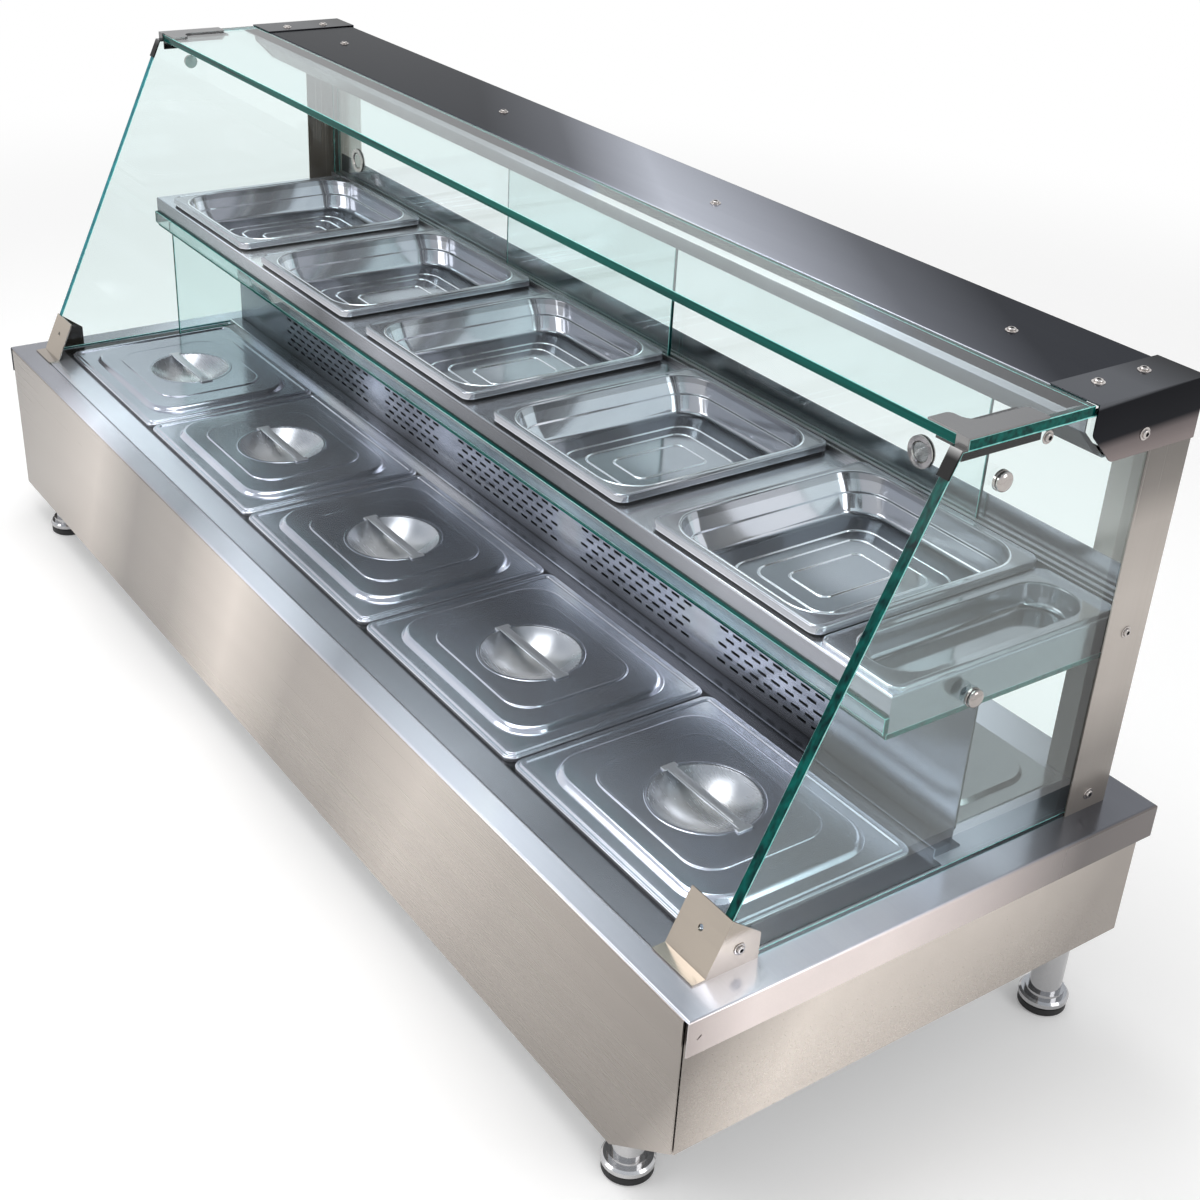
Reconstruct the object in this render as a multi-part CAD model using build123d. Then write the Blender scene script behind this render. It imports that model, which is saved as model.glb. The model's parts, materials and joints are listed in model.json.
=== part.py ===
from build123d import *
import math
import os

# Countertop food warmer: a heated front well with lidded pans, a heated shelf with open
# pans above it, and a glass case that is open on the customer side.
# Millimetres. +X is right seen from the customer, -Y faces the customer, +Z is up.
# The origin is on the floor below the middle of the deck.

# A cylinder that stands on its own place instead of around it
LOW = (Align.CENTER, Align.CENTER, Align.MIN)

# Stock
SHEET = 1.5
BEND = 3.0
PAN_WALL = 1.0
PLATE = 2.0
END_GLASS = 12.0
TOP_GLASS = 10.0
SHELF_GLASS = 6.0
SIDE_GLASS = 6.0
DOOR_GLASS = 5.0

# Deck and cabinet
DECK_LENGTH = 1800.0
DECK_DEPTH = 620.0
DECK_HEIGHT = 288.0
FLANGE = 40.0
FLANGE_SLOT_LENGTH = 6.0
FLANGE_SLOT_WIDTH = 2.0
FLANGE_SLOT_TURN = 40.0
FLANGE_SLOT_SETBACK = 13.0
FLANGE_SLOT_DROP = 21.0
OVERHANG = 8.0
SEAM = 2.0
APRON_HEIGHT = 237.0
APRON_RETURN = 18.0
APRON_HEM = 9.0
CLIP_LENGTH = 94.0
CLIP_HEIGHT = 72.0
RIGHT_PANEL_HEIGHT = 168.0
PANEL_FOLD = 14.0
END_PANEL_SETBACK = 10.0
REAR_PANEL_SETBACK = 26.0
BASE_LIP = 14.0

# Legs
LEG_FRONT_INSET = 105.0
LEG_REAR_INSET = 50.0
LEG_FRONT_SETBACK = 30.0
LEG_REAR_SETBACK = 50.0
LEG_RADIUS = 18.0
LEG_HEAD_RADIUS = 22.0
LEG_HEAD = 4.0
COLLAR_RADIUS = 28.0
COLLAR = 10.0
COLLAR_CHAMFER = 2.5
NECK_RADIUS = 22.0
NECK = 6.0
PAD_RADIUS = 27.0
PAD = 10.0
PAD_CHAMFER = 2.0

# Front well and its lidded pans
WELL_FRONT_MARGIN = 30.0
WELL_CASE_GAP = 2.0
WELL_END_MARGIN = 27.5
GROOVE = 2.5
PAN_COUNT = 5
PAN_GAP = 4.0
PAN_WIDTH = 265.0
PAN_FRONT_GAP = 41.5
PAN_REAR_GAP = 12.5
PAN_DEPTH = 100.0
PAN_RIM_DROP = 5.0
PAN_OPENING_CLEARANCE = 2.0
RIM_WIDTH = 11.0
RIM_CORNER = 13.0
MOUTH_CORNER = 45.0
DRAFT = 7.0
KICK = 12.0
TANK_MARGIN = 14.0
TANK_DEPTH = 140.0
TANK_LIP = 22.0
TANK_LIP_FRONT = 5.5
HEATER_RADIUS = 4.25
HEATER_RISE = 18.0
HEATER_SPREAD = 120.0
HEATER_END_GAP = 40.0
HEATER_HEAD = 40.0
HEATER_HEAD_HEIGHT = 26.0
HEATER_HEAD_PLATE = 4.5
HEATER_BEND = 55.0

# Lids
LID_EDGE = 1.0
LID_FLANGE = 22.0
LID_RISE = 6.0
LID_SLOPE = 4.0
LID_CROWN_CORNER = 47.0
LID_PLATEAU_X = 205.0
LID_PLATEAU_Y = 165.0
LID_PLATEAU_CORNER = 35.0
LID_PLATEAU_RISE = 1.2
BOWL_RADIUS = 57.5
BOWL_DEPTH = 25.0
STRAP_LENGTH = 131.0
STRAP_WIDTH = 14.0
STRAP = 2.2
STRAP_GROOVE = 1.0
STRAP_LIP = 2.5

# Ledge rail, vented riser and the deck covers behind it
RAIL_DEPTH = 22.0
RAIL_HEIGHT = 10.0
RISER_FOLD = 15.0
SLOTS_PER_GROUP = (12, 7, 11, 10, 8)
SLOT_ROWS = 5
SLOT_LENGTH = 15.0
SLOT_HEIGHT = 3.6
SLOT_PITCH = 23.5
SLOT_ROW_PITCH = 10.4
SLOT_GROUP_GAP = 45.0
SLOT_END_GAP = 173.0
SLOT_CENTRE_HEIGHT = 46.0
COVER_COUNT = 3
COVER_GAP = 8.0
COVER_END_GAP = 42.0
COVER_RISER_GAP = 2.0
COVER_REAR_GAP = 9.0
COVER_EDGE_CORNER = 12.0
COVER_BEAD_INSET = 16.0
COVER_BEAD_CORNER = 40.0
COVER_BEAD_CORNER_MOST = 0.45
COVER_RISE = 5.0

# Glass case
CASE_INSET = 38.0
CASE_HEIGHT = 476.0
CASE_REAR_SETBACK = 45.5
GLASS_FOOT_SETBACK = 46.0
TOP_GLASS_DEPTH = 156.0
TOP_GLASS_SETBACK = 6.0
POST_END_LEG = 60.0
POST_REAR_LEG = 85.0
POST_TOP_GAP = 6.0
CANOPY_DEPTH = 144.5
CANOPY_DROP = 60.0
CANOPY_FACE = 29.0
CANOPY_CHAMFER = 31.0
CANOPY_RETURN = 16.0
CANOPY_LEDGE = 23.0
CANOPY_END_GAP = 2.0
CAP_WRAP = 41.0
CAP_CORNER = 8.0
BATTEN_END_GAP = 128.0
BATTEN_FORWARD = 4.0
BATTEN_WIDTH = 40.0
BATTEN_HEIGHT = 20.0
LAMP_RADIUS = 8.0
LAMP_DROP = 13.0
LAMP_HOLDER = 26.0
LAMP_HOLDER_LENGTH = 18.0

# Corner brackets
FOOT_PLATE_LENGTH = 60.0
FOOT_PLATE_HEIGHT = 62.0
FOOT_TAB = 14.0
FOOT_EAR_DEPTH = 60.0
FOOT_EAR_REAR_HEIGHT = 30.0
BRACKET_HOLE = 3.2
HEAD_ARM_X = 50.0
HEAD_ARM_Y = 96.0
HEAD_ARM_WIDTH = 26.0
HEAD_ARM_INNER = 14.0
HEAD_ARM_TIP = 6.0
HEAD_LEG_WIDTH = 14.0
HEAD_LEG_LENGTH = 26.0
HEAD_TAB_HEIGHT = 12.0

# Heated shelf
SHELF_HEIGHT = 229.0
SHELF_END_GAP = 5.0
SHELF_SKIRT = 40.0
SHELF_FRONT_SKIRT = 22.0
STRIP_PROUD = 4.5
SHELF_UPSTAND = 34.0
TRAY_COUNT = 5
TRAY_LENGTH = 265.0
TRAY_WIDTH = 300.0
TRAY_END_GAP = 49.5
TRAY_FRONT_GAP = 5.0
TRAY_REAR_GAP = 2.5
TRAY_DEPTH = 44.0
TRAY_RIM_DROP = 13.0
TRAY_PLATEAU_X = 140.0
TRAY_PLATEAU_Y = 176.0
TRAY_PLATEAU_CORNER = 28.0
TRAY_PLATEAU_RISE = 2.0
NARROW_LENGTH = 100.0
NARROW_END_GAP = 2.0
NARROW_TRAY_GAP = 1.5
NARROW_RECESS_X = 74.0
NARROW_RECESS_Y = 262.0
NARROW_DEPTH = 28.0
NARROW_RIM_DROP = 5.0
NARROW_DRAFT = 5.0
SHELF_HEATER_RADIUS = 3.0
SHELF_HEATER_END_GAP = 65.0
SHELF_HEATER_SPREAD = 80.0
SHELF_HEATER_BEND = 36.0
SIDE_PANE_SETBACK = 19.0
SIDE_PANE_REAR_GAP = 64.5
SIDE_PANE_INSET = 4.0
SIDE_PANE_GAP = 0.5

# Sliding rear doors
DOOR_OVERLAP = 198.0
DOOR_END_GAP = 4.0
DOOR_RIGHT_OFFSET = 210.0
TRACK_PITCH = 11.5
TRACK_WALL = 3.0
TRACK_LOW_HEIGHT = 6.0
TRACK_FLOOR = 2.0
TRACK_TOP_HEIGHT = 20.0
TRACK_TOP_FLOOR = 5.0
TRACK_TOP_LIFT = 4.0
DOOR_RUNNING = 0.5
DOOR_LIFT_ROOM = 3.0
DOOR_SEAT = 0.3
PULL_RADIUS = 19.0
PULL_FLANGE = 1.4
PULL_BARREL = 14.0
PULL_DISH = 2.2
PULL_LIP = 1.0
PULL_SLOPE = 2.0
PULL_INSET_X = 86.0
PULL_RISE = 46.0
PULL_FIT = 0.3

# Fasteners
KNOB_RADIUS = 10.0
KNOB_HEIGHT = 9.0
KNOB_CROWN = 6.0
KNOB_SHOULDER = 5.4
KNOB_WASHER = 13.0
KNOB_SHANK = 4.0
KNOB_HOLE_CLEARANCE = 0.4
KNOB_NUT = 8.0
KNOB_NUT_HEIGHT = 6.0
HEAD_KNOB_SETBACK = 46.0
HEAD_KNOB_DROP = 46.0
SHELF_KNOB_SETBACK = 94.0
SHELF_KNOB_DROP = 23.0
SCREW_RADIUS = 4.5
SCREW_CROWN = 3.6
SCREW_SHOULDER = 1.7
SCREW_HEAD = 2.4
WASHER_RADIUS = 6.5
WASHER = 0.8
ROOF_SCREW_COUNT = 4
ROOF_SCREW_INSET = 155.0
SCREW_EDGE = 19.5
EAR_SCREW_SETBACK = 36.0
EAR_SCREW_RISE = 21.0

# Controls on the rear panel
CONTROL_DROP = 88.0
THERMOSTAT_INSET = 302.0
THERMOSTAT_BODY = 44.0
THERMOSTAT_DEPTH = 34.0
BUSH_RADIUS = 5.0
BUSH_LENGTH = 6.0
SPINDLE_RADIUS = 3.0
SPINDLE_FIT = 0.05
SPINDLE_DEPTH = 16.0
SPINDLE_END_GAP = 1.0
DIAL_RADIUS = 21.0
DIAL_HEIGHT = 17.0
DIAL_TAPER = 2.5
DIAL_GAP = 1.0
DIAL_POCKET = 7.5
DIAL_GRIP_COUNT = 12
DIAL_GRIP = 1.6
SWITCH_INSET = 392.0
SWITCH_BEZEL_X = 26.0
SWITCH_BEZEL_Z = 40.0
SWITCH_BEZEL = 2.0
SWITCH_BODY_X = 22.0
SWITCH_BODY_Z = 34.0
SWITCH_BODY_DEPTH = 26.0
ROCKER_RADIUS = 13.0
ROCKER_WIDTH = 15.0
ROCKER_SIDE_GAP = 0.6
ROCKER_GAP = 0.5
ROCKER_ANGLE = 9.0
ROCKER_TILT = 7.0
ROCKER_PROUD = 5.0
ROCKER_PIN = 1.5
ROCKER_PIN_LENGTH = 2.0
ROCKER_PIN_GAP = 0.4
PIVOT_FIT = 0.05
LENS_INSET = 347.0
LENS_RADIUS = 6.0
LENS_FLANGE = 8.0
LENS_CROWN = 4.2
LENS_SHOULDER = 4.8
LENS_HEIGHT = 6.0
GLAND_INSET = 202.0
GLAND_RADIUS = 10.0
GLAND_HEX = 14.0
GLAND_HEX_HEIGHT = 6.0
GLAND_DOME = 12.0
GLAND_DOME_HEIGHT = 14.0
GLAND_CROWN = 7.2
GLAND_SHOULDER = 6.0
GLAND_BORE = 4.5
LOUVRE_COUNT = 9
LOUVRE_PITCH = 36.0
LOUVRE_LENGTH = 60.0
LOUVRE_WIDTH = 6.0

# Drain valve under the well
DRAIN_INSET = 183.5
DRAIN_SETBACK = 66.0
PIPE_RADIUS = 10.0
PIPE_BORE = 7.5
VALVE_RADIUS = 15.0
VALVE_HEIGHT = 38.0
VALVE_RISE = 60.0
VALVE_NECK = 6.0
STEM_RADIUS = 4.0
STEM_FIT = 0.05
STEM_SEAT = 8.0
BOSS_WALL = 3.0
BOSS_REACH = 5.0
VALVE_WALL = 2.0
LEVER_LENGTH = 66.0
LEVER_WIDTH = 14.0
LEVER = 4.0
LEVER_GAP = 0.6

# Worked out from the sizes above
HALF_LENGTH = DECK_LENGTH / 2
FRONT = -DECK_DEPTH / 2
REAR = DECK_DEPTH / 2
DECK_UNDER = DECK_HEIGHT - SHEET
BODY_HALF = HALF_LENGTH - OVERHANG
APRON_BOTTOM = DECK_HEIGHT - APRON_HEIGHT
RIGHT_PANEL_BOTTOM = DECK_HEIGHT - RIGHT_PANEL_HEIGHT
BASE_UNDER = RIGHT_PANEL_BOTTOM + SHEET
REAR_PANEL_OUT = REAR - REAR_PANEL_SETBACK
REAR_PANEL_IN = REAR_PANEL_OUT - SHEET
CASE_HALF_LENGTH = HALF_LENGTH - CASE_INSET
CASE_INNER = CASE_HALF_LENGTH - END_GLASS
CASE_TOP = DECK_HEIGHT + CASE_HEIGHT
REAR_PLANE = REAR - CASE_REAR_SETBACK
CONTROL_Z = DECK_HEIGHT - CONTROL_DROP
THERMOSTAT_X = BODY_HALF - THERMOSTAT_INSET
SWITCH_X = BODY_HALF - SWITCH_INSET
LENS_X = BODY_HALF - LENS_INSET
GLAND_X = GLAND_INSET - BODY_HALF
WELL_HALF_LENGTH = CASE_INNER - WELL_CASE_GAP
WELL_FRONT = FRONT + WELL_FRONT_MARGIN
WELL_REAR = WELL_FRONT + PAN_FRONT_GAP + PAN_WIDTH + PAN_REAR_GAP
PAN_RIM_TOP = DECK_HEIGHT + PAN_RIM_DROP
PAN_PITCH = (2 * (WELL_HALF_LENGTH - WELL_END_MARGIN) + PAN_GAP) / PAN_COUNT
PAN_LENGTH = PAN_PITCH - PAN_GAP
PAN_CENTRE_Y = WELL_FRONT + PAN_FRONT_GAP + PAN_WIDTH / 2
PAN_XS = [PAN_PITCH * (k - (PAN_COUNT - 1) / 2) for k in range(PAN_COUNT)]
MOUTH_LENGTH = PAN_LENGTH - 2 * RIM_WIDTH
MOUTH_WIDTH = PAN_WIDTH - 2 * RIM_WIDTH
TANK_HALF = PAN_PITCH * (PAN_COUNT - 1) / 2 + MOUTH_LENGTH / 2 + TANK_MARGIN
TANK_HALF_DEPTH = MOUTH_WIDTH / 2 + TANK_MARGIN
TANK_TOP = DECK_UNDER
TANK_FLOOR = TANK_TOP - TANK_DEPTH
DRAIN_X = TANK_HALF - DRAIN_INSET
DRAIN_Y = PAN_CENTRE_Y + DRAIN_SETBACK
RAIL_FRONT = WELL_REAR
GROOVE_WIDTH = DOOR_GLASS + 2 * DOOR_RUNNING
TRACK_REAR = REAR_PLANE - SHEET
TRACK_DEPTH = 2 * TRACK_WALL + TRACK_PITCH + GROOVE_WIDTH
SHELF_HALF_LENGTH = CASE_INNER - SHELF_END_GAP
SHELF_FRONT = TRACK_REAR - TRACK_DEPTH - TRAY_REAR_GAP - TRAY_WIDTH - TRAY_FRONT_GAP
RISER_HALF_LENGTH = SHELF_HALF_LENGTH - SIDE_PANE_INSET - SIDE_GLASS - SIDE_PANE_GAP
RISER_FRONT = RAIL_FRONT + RAIL_DEPTH
SHELF_TOP = DECK_HEIGHT + SHELF_HEIGHT
SHELF_UNDER = SHELF_TOP - SHELF_SKIRT
GLASS_UNDER = SHELF_UNDER - SHELF_GLASS
STRIP_TOP = SHELF_TOP - SHELF_FRONT_SKIRT
NARROW_CENTRE_X = SHELF_HALF_LENGTH - NARROW_END_GAP - NARROW_LENGTH / 2
TRAY_FIRST_X = TRAY_END_GAP - SHELF_HALF_LENGTH + TRAY_LENGTH / 2
TRAY_LAST_X = NARROW_CENTRE_X - NARROW_LENGTH / 2 - NARROW_TRAY_GAP - TRAY_LENGTH / 2
TRAY_PITCH = (TRAY_LAST_X - TRAY_FIRST_X) / (TRAY_COUNT - 1)
TRAY_XS = [TRAY_FIRST_X + TRAY_PITCH * k for k in range(TRAY_COUNT)]
TRAY_CENTRE_Y = SHELF_FRONT + TRAY_FRONT_GAP + TRAY_WIDTH / 2
SIDE_PANE_FRONT = SHELF_FRONT + SIDE_PANE_SETBACK
SIDE_PANE_REAR = REAR_PLANE - SIDE_PANE_REAR_GAP
CANOPY_FRONT = REAR_PLANE - CANOPY_DEPTH
GLASS_FOOT_Y = FRONT + GLASS_FOOT_SETBACK
TOP_GLASS_FRONT = CANOPY_FRONT - TOP_GLASS_DEPTH
GLASS_HEAD_Y = TOP_GLASS_FRONT - TOP_GLASS_SETBACK
TOP_GLASS_UNDER = CASE_TOP - TOP_GLASS
END_GLASS_HEIGHT = TOP_GLASS_UNDER - DECK_HEIGHT
CANOPY_HALF = CASE_INNER - CANOPY_END_GAP
CANOPY_BOTTOM = CASE_TOP - CANOPY_DROP
ROOF_MIDDLE_Y = (CANOPY_FRONT + REAR_PLANE) / 2
BATTEN_Y = ROOF_MIDDLE_Y - BATTEN_FORWARD
BATTEN_LENGTH = 2 * (CANOPY_HALF - BATTEN_END_GAP)
DOOR_REAR_Y = TRACK_REAR - TRACK_WALL - GROOVE_WIDTH / 2
DOOR_FRONT_Y = DOOR_REAR_Y - TRACK_PITCH
TRACK_TOP_UNDER = CANOPY_BOTTOM + TRACK_TOP_LIFT
DOOR_FOOT = SHELF_TOP + TRACK_FLOOR + DOOR_SEAT
DOOR_HEAD = TRACK_TOP_UNDER + TRACK_TOP_HEIGHT - TRACK_TOP_FLOOR - DOOR_LIFT_ROOM
DOOR_SPAN = SHELF_HALF_LENGTH - DOOR_END_GAP
DOOR_LENGTH = DOOR_SPAN + DOOR_OVERLAP / 2
DOOR_LEFT_X = -DOOR_SPAN
DOOR_RIGHT_X = DOOR_SPAN - DOOR_LENGTH - DOOR_RIGHT_OFFSET
VALVE_TOP = VALVE_RISE + VALVE_HEIGHT
VALVE_AXIS_Z = VALVE_RISE + VALVE_HEIGHT / 2
BOSS_END = VALVE_RADIUS + BOSS_REACH
ROCKER_AXIS_Y = REAR_PANEL_OUT + SWITCH_BEZEL + ROCKER_PROUD - ROCKER_RADIUS


def span(x0, x1, y0, y1, z0, z1):
    """Block between six limits."""
    middle = Pos((x0 + x1) / 2, (y0 + y1) / 2, (z0 + z1) / 2)
    return middle * Box(x1 - x0, y1 - y0, z1 - z0)


def outline(*points):
    """Flat face inside a closed run of points."""
    return make_face(Polyline(*points, close=True))


def side_profile(x0, x1, face):
    """A (y, z) face drawn out along X."""
    return Pos(x0, 0, 0) * extrude(Plane.YZ * face, x1 - x0)


def folded(points, x0, x1):
    """Sheet bent along the (y, z) points of its middle surface, from x0 to x1."""
    line = FilletPolyline(*points, radius=BEND - SHEET / 2)
    return side_profile(x0, x1, trace(line, SHEET))


def rounded_loft(*sections):
    """Ruled solid through rounded rectangles given as (length, width, corner, height)."""
    faces = [Pos(0, 0, z) * RectangleRounded(x, y, r) for x, y, r, z in sections]
    return loft(faces, ruled=True)


def turned(points, axis_place):
    """Solid of revolution of (radius, height) points, stood at axis_place."""
    face = Plane.XZ * outline(*points)
    return axis_place * revolve(face, Axis.Z)


def both_ends(piece):
    """The right-hand piece and its mirror image on the left."""
    return [piece, mirror(piece, Plane.YZ)]


def group(pieces):
    """Separate solids kept together in one node."""
    solids = [solid for piece in pieces for solid in piece.solids()]
    return Compound(children=solids)


def deck_top():
    """Deck sheet turned down at both ends and the rear, with the well opening cut out."""
    blank = span(-HALF_LENGTH, HALF_LENGTH, FRONT, REAR, DECK_HEIGHT - FLANGE, DECK_HEIGHT)
    blank = fillet(blank.edges().group_by(Axis.Z)[-1], BEND)
    hollow = span(-HALF_LENGTH + SHEET, HALF_LENGTH - SHEET, FRONT - SHEET, REAR - SHEET,
                  DECK_HEIGHT - FLANGE - SHEET, DECK_UNDER)
    opening = span(-WELL_HALF_LENGTH, WELL_HALF_LENGTH, WELL_FRONT, WELL_REAR,
                   DECK_UNDER - SHEET, DECK_HEIGHT + SHEET)
    slot = Rot(FLANGE_SLOT_TURN, 0, 0) * Box(4 * SHEET, FLANGE_SLOT_LENGTH, FLANGE_SLOT_WIDTH)
    slot = Pos(HALF_LENGTH, FRONT + FLANGE_SLOT_SETBACK, DECK_HEIGHT - FLANGE_SLOT_DROP) * slot
    return blank - hollow - opening - both_ends(slot)


def front_apron():
    """Front sheet with a return under the deck, a hem below and its right corner clipped."""
    skin = FRONT + SHEET / 2
    top = DECK_UNDER - SHEET / 2
    bottom = APRON_BOTTOM + SHEET / 2
    points = [(FRONT + APRON_RETURN, top), (skin, top), (skin, bottom), (FRONT + APRON_HEM, bottom)]
    sheet = folded(points, -BODY_HALF, BODY_HALF)
    corner = outline((BODY_HALF + SHEET, APRON_BOTTOM - SHEET),
                     (BODY_HALF - CLIP_LENGTH - SHEET, APRON_BOTTOM - SHEET),
                     (BODY_HALF - CLIP_LENGTH, APRON_BOTTOM),
                     (BODY_HALF, APRON_BOTTOM + CLIP_HEIGHT),
                     (BODY_HALF + SHEET, APRON_BOTTOM + CLIP_HEIGHT + SHEET))
    sheet -= extrude(Plane.XZ * corner, DECK_DEPTH, both=True)
    notch = span(BODY_HALF - PANEL_FOLD - SEAM, BODY_HALF + SHEET, FRONT + SHEET, FRONT + 2 * APRON_RETURN,
                 APRON_BOTTOM - SHEET, DECK_HEIGHT)
    return sheet - both_ends(notch)


def end_panel(side, height):
    """End sheet folded inwards at the front, the rear and the bottom."""
    y0 = FRONT + SHEET + SEAM
    y1 = REAR - END_PANEL_SETBACK
    z0 = DECK_HEIGHT - height
    tray = span(BODY_HALF - PANEL_FOLD, BODY_HALF, y0, y1, z0, DECK_UNDER)
    hollow = span(BODY_HALF - PANEL_FOLD - SHEET, BODY_HALF - SHEET, y0 + SHEET, y1 - SHEET,
                  z0 + SHEET, DECK_UNDER + SHEET)
    panel = tray - hollow
    return panel if side > 0 else mirror(panel, Plane.YZ)


def rear_panel():
    """Rear sheet between the end panels with control holes and two banks of air slots."""
    inner = BODY_HALF - SHEET
    sheet = span(-inner, inner, REAR_PANEL_IN, REAR_PANEL_OUT, BASE_UNDER + SHEET, DECK_UNDER)
    facing = Pos(0, REAR_PANEL_IN - SHEET, 0) * Rot(-90, 0, 0)
    reach = 3 * SHEET
    holes = [Pos(THERMOSTAT_X, 0, CONTROL_Z) * facing * Cylinder(BUSH_RADIUS, reach, align=LOW),
             Pos(LENS_X, 0, CONTROL_Z) * facing * Cylinder(LENS_RADIUS, reach, align=LOW),
             Pos(GLAND_X, 0, CONTROL_Z) * facing * Cylinder(GLAND_RADIUS, reach, align=LOW)]
    holes.append(Pos(SWITCH_X, REAR_PANEL_IN, CONTROL_Z) * Box(SWITCH_BODY_X, reach, SWITCH_BODY_Z))
    for bank in (-1, 1):
        for k in range(LOUVRE_COUNT):
            x = bank * LOUVRE_PITCH * (k + 1)
            holes.append(Pos(x, REAR_PANEL_IN, CONTROL_Z) * Box(LOUVRE_WIDTH, reach, LOUVRE_LENGTH))
    return sheet - holes


def base_pan():
    """Bottom sheet with a lip along the front and the rear."""
    y0 = FRONT + SHEET + SEAM + 2 * SHEET
    z = BASE_UNDER + SHEET / 2
    points = [(y0, z + BASE_LIP), (y0, z), (REAR_PANEL_IN - SHEET / 2, z),
              (REAR_PANEL_IN - SHEET / 2, z + BASE_LIP)]
    sheet = folded(points, -BODY_HALF + SHEET, BODY_HALF - SHEET)
    hole = Pos(DRAIN_X, DRAIN_Y, z) * Cylinder(PIPE_RADIUS + SEAM, 4 * SHEET)
    return sheet - hole


def leg_places():
    """Floor points under the four legs."""
    rows = [(HALF_LENGTH - LEG_FRONT_INSET, FRONT + LEG_FRONT_SETBACK),
            (HALF_LENGTH - LEG_REAR_INSET, REAR - LEG_REAR_SETBACK)]
    return [Pos(sign * x, y, 0) for x, y in rows for sign in (-1, 1)]


def legs():
    """Round legs with a stepped collar above the pad and a head under the base sheet."""
    top = PAD + COLLAR
    cut = COLLAR_CHAMFER
    profile = [(0, PAD), (COLLAR_RADIUS - cut, PAD), (COLLAR_RADIUS, PAD + cut), (COLLAR_RADIUS, top - cut),
               (COLLAR_RADIUS - cut, top), (NECK_RADIUS, top), (NECK_RADIUS, top + NECK),
               (LEG_RADIUS, top + NECK), (LEG_RADIUS, BASE_UNDER - LEG_HEAD),
               (LEG_HEAD_RADIUS, BASE_UNDER - LEG_HEAD), (LEG_HEAD_RADIUS, BASE_UNDER), (0, BASE_UNDER)]
    return group([turned(profile, place) for place in leg_places()])


def foot_pads():
    """Rubber pads under the collars."""
    profile = [(0, 0), (PAD_RADIUS - PAD_CHAMFER, 0), (PAD_RADIUS, PAD_CHAMFER), (PAD_RADIUS, PAD), (0, PAD)]
    return group([turned(profile, place) for place in leg_places()])


def well_top():
    """Two rails and the cross bars between the pans, lying on the tank lip."""
    slack = 2 * PAN_WALL + 2 * PAN_OPENING_CLEARANCE
    window_x = MOUTH_LENGTH + slack
    y0 = PAN_CENTRE_Y - (MOUTH_WIDTH + slack) / 2
    y1 = PAN_CENTRE_Y + (MOUTH_WIDTH + slack) / 2
    edge = WELL_HALF_LENGTH - GROOVE
    bars = [span(-edge, edge, WELL_FRONT + GROOVE, y0, DECK_UNDER, DECK_HEIGHT),
            span(-edge, edge, y1, WELL_REAR, DECK_UNDER, DECK_HEIGHT)]
    starts = [-edge] + [x + window_x / 2 for x in PAN_XS]
    stops = [x - window_x / 2 for x in PAN_XS] + [edge]
    bars += [span(x0, x1, y0, y1, DECK_UNDER, DECK_HEIGHT) for x0, x1 in zip(starts, stops)]
    return group(bars)


def well_tank():
    """Welded water tank of flat plates with a lip that carries the well bars under the deck."""
    y0 = PAN_CENTRE_Y - TANK_HALF_DEPTH
    y1 = PAN_CENTRE_Y + TANK_HALF_DEPTH
    side = TANK_HALF + SHEET
    lip_x = WELL_HALF_LENGTH + TANK_LIP
    lip_z = TANK_TOP - SHEET
    floor = span(-TANK_HALF, TANK_HALF, y0, y1, TANK_FLOOR, TANK_FLOOR + SHEET)
    drain = Pos(DRAIN_X, DRAIN_Y, TANK_FLOOR) * Cylinder(PIPE_BORE, 4 * SHEET)
    plates = [floor - drain,
              span(-side, side, y0 - SHEET, y0, TANK_FLOOR, TANK_TOP),
              span(-side, side, y1, y1 + SHEET, TANK_FLOOR, TANK_TOP),
              span(-lip_x, lip_x, WELL_FRONT - TANK_LIP_FRONT, y0 - SHEET, lip_z, TANK_TOP),
              span(-lip_x, lip_x, y1 + SHEET, WELL_REAR + TANK_LIP, lip_z, TANK_TOP)]
    plates += both_ends(span(TANK_HALF, side, y0, y1, TANK_FLOOR, TANK_TOP))
    plates += both_ends(span(side, lip_x, y0 - SHEET, y1 + SHEET, lip_z, TANK_TOP))
    return group(plates)


def immersion_heater():
    """Bent tubular heater with its head against the right wall of the tank."""
    z = TANK_FLOOR + SHEET + HEATER_RISE
    wall = TANK_HALF
    y0 = PAN_CENTRE_Y - HEATER_SPREAD / 2
    y1 = PAN_CENTRE_Y + HEATER_SPREAD / 2
    far = -TANK_HALF + HEATER_END_GAP
    line = FilletPolyline((wall, y0, z), (far, y0, z), (far, y1, z), (wall, y1, z),
                          radius=HEATER_BEND)
    section = Plane(line @ 0, z_dir=line % 0) * Circle(HEATER_RADIUS)
    head = span(wall - HEATER_HEAD_PLATE, wall, y0 - HEATER_HEAD / 2, y1 + HEATER_HEAD / 2,
                z - HEATER_HEAD_HEIGHT / 2, z + HEATER_HEAD_HEIGHT / 2)
    return head + sweep(section, path=line)


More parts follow.
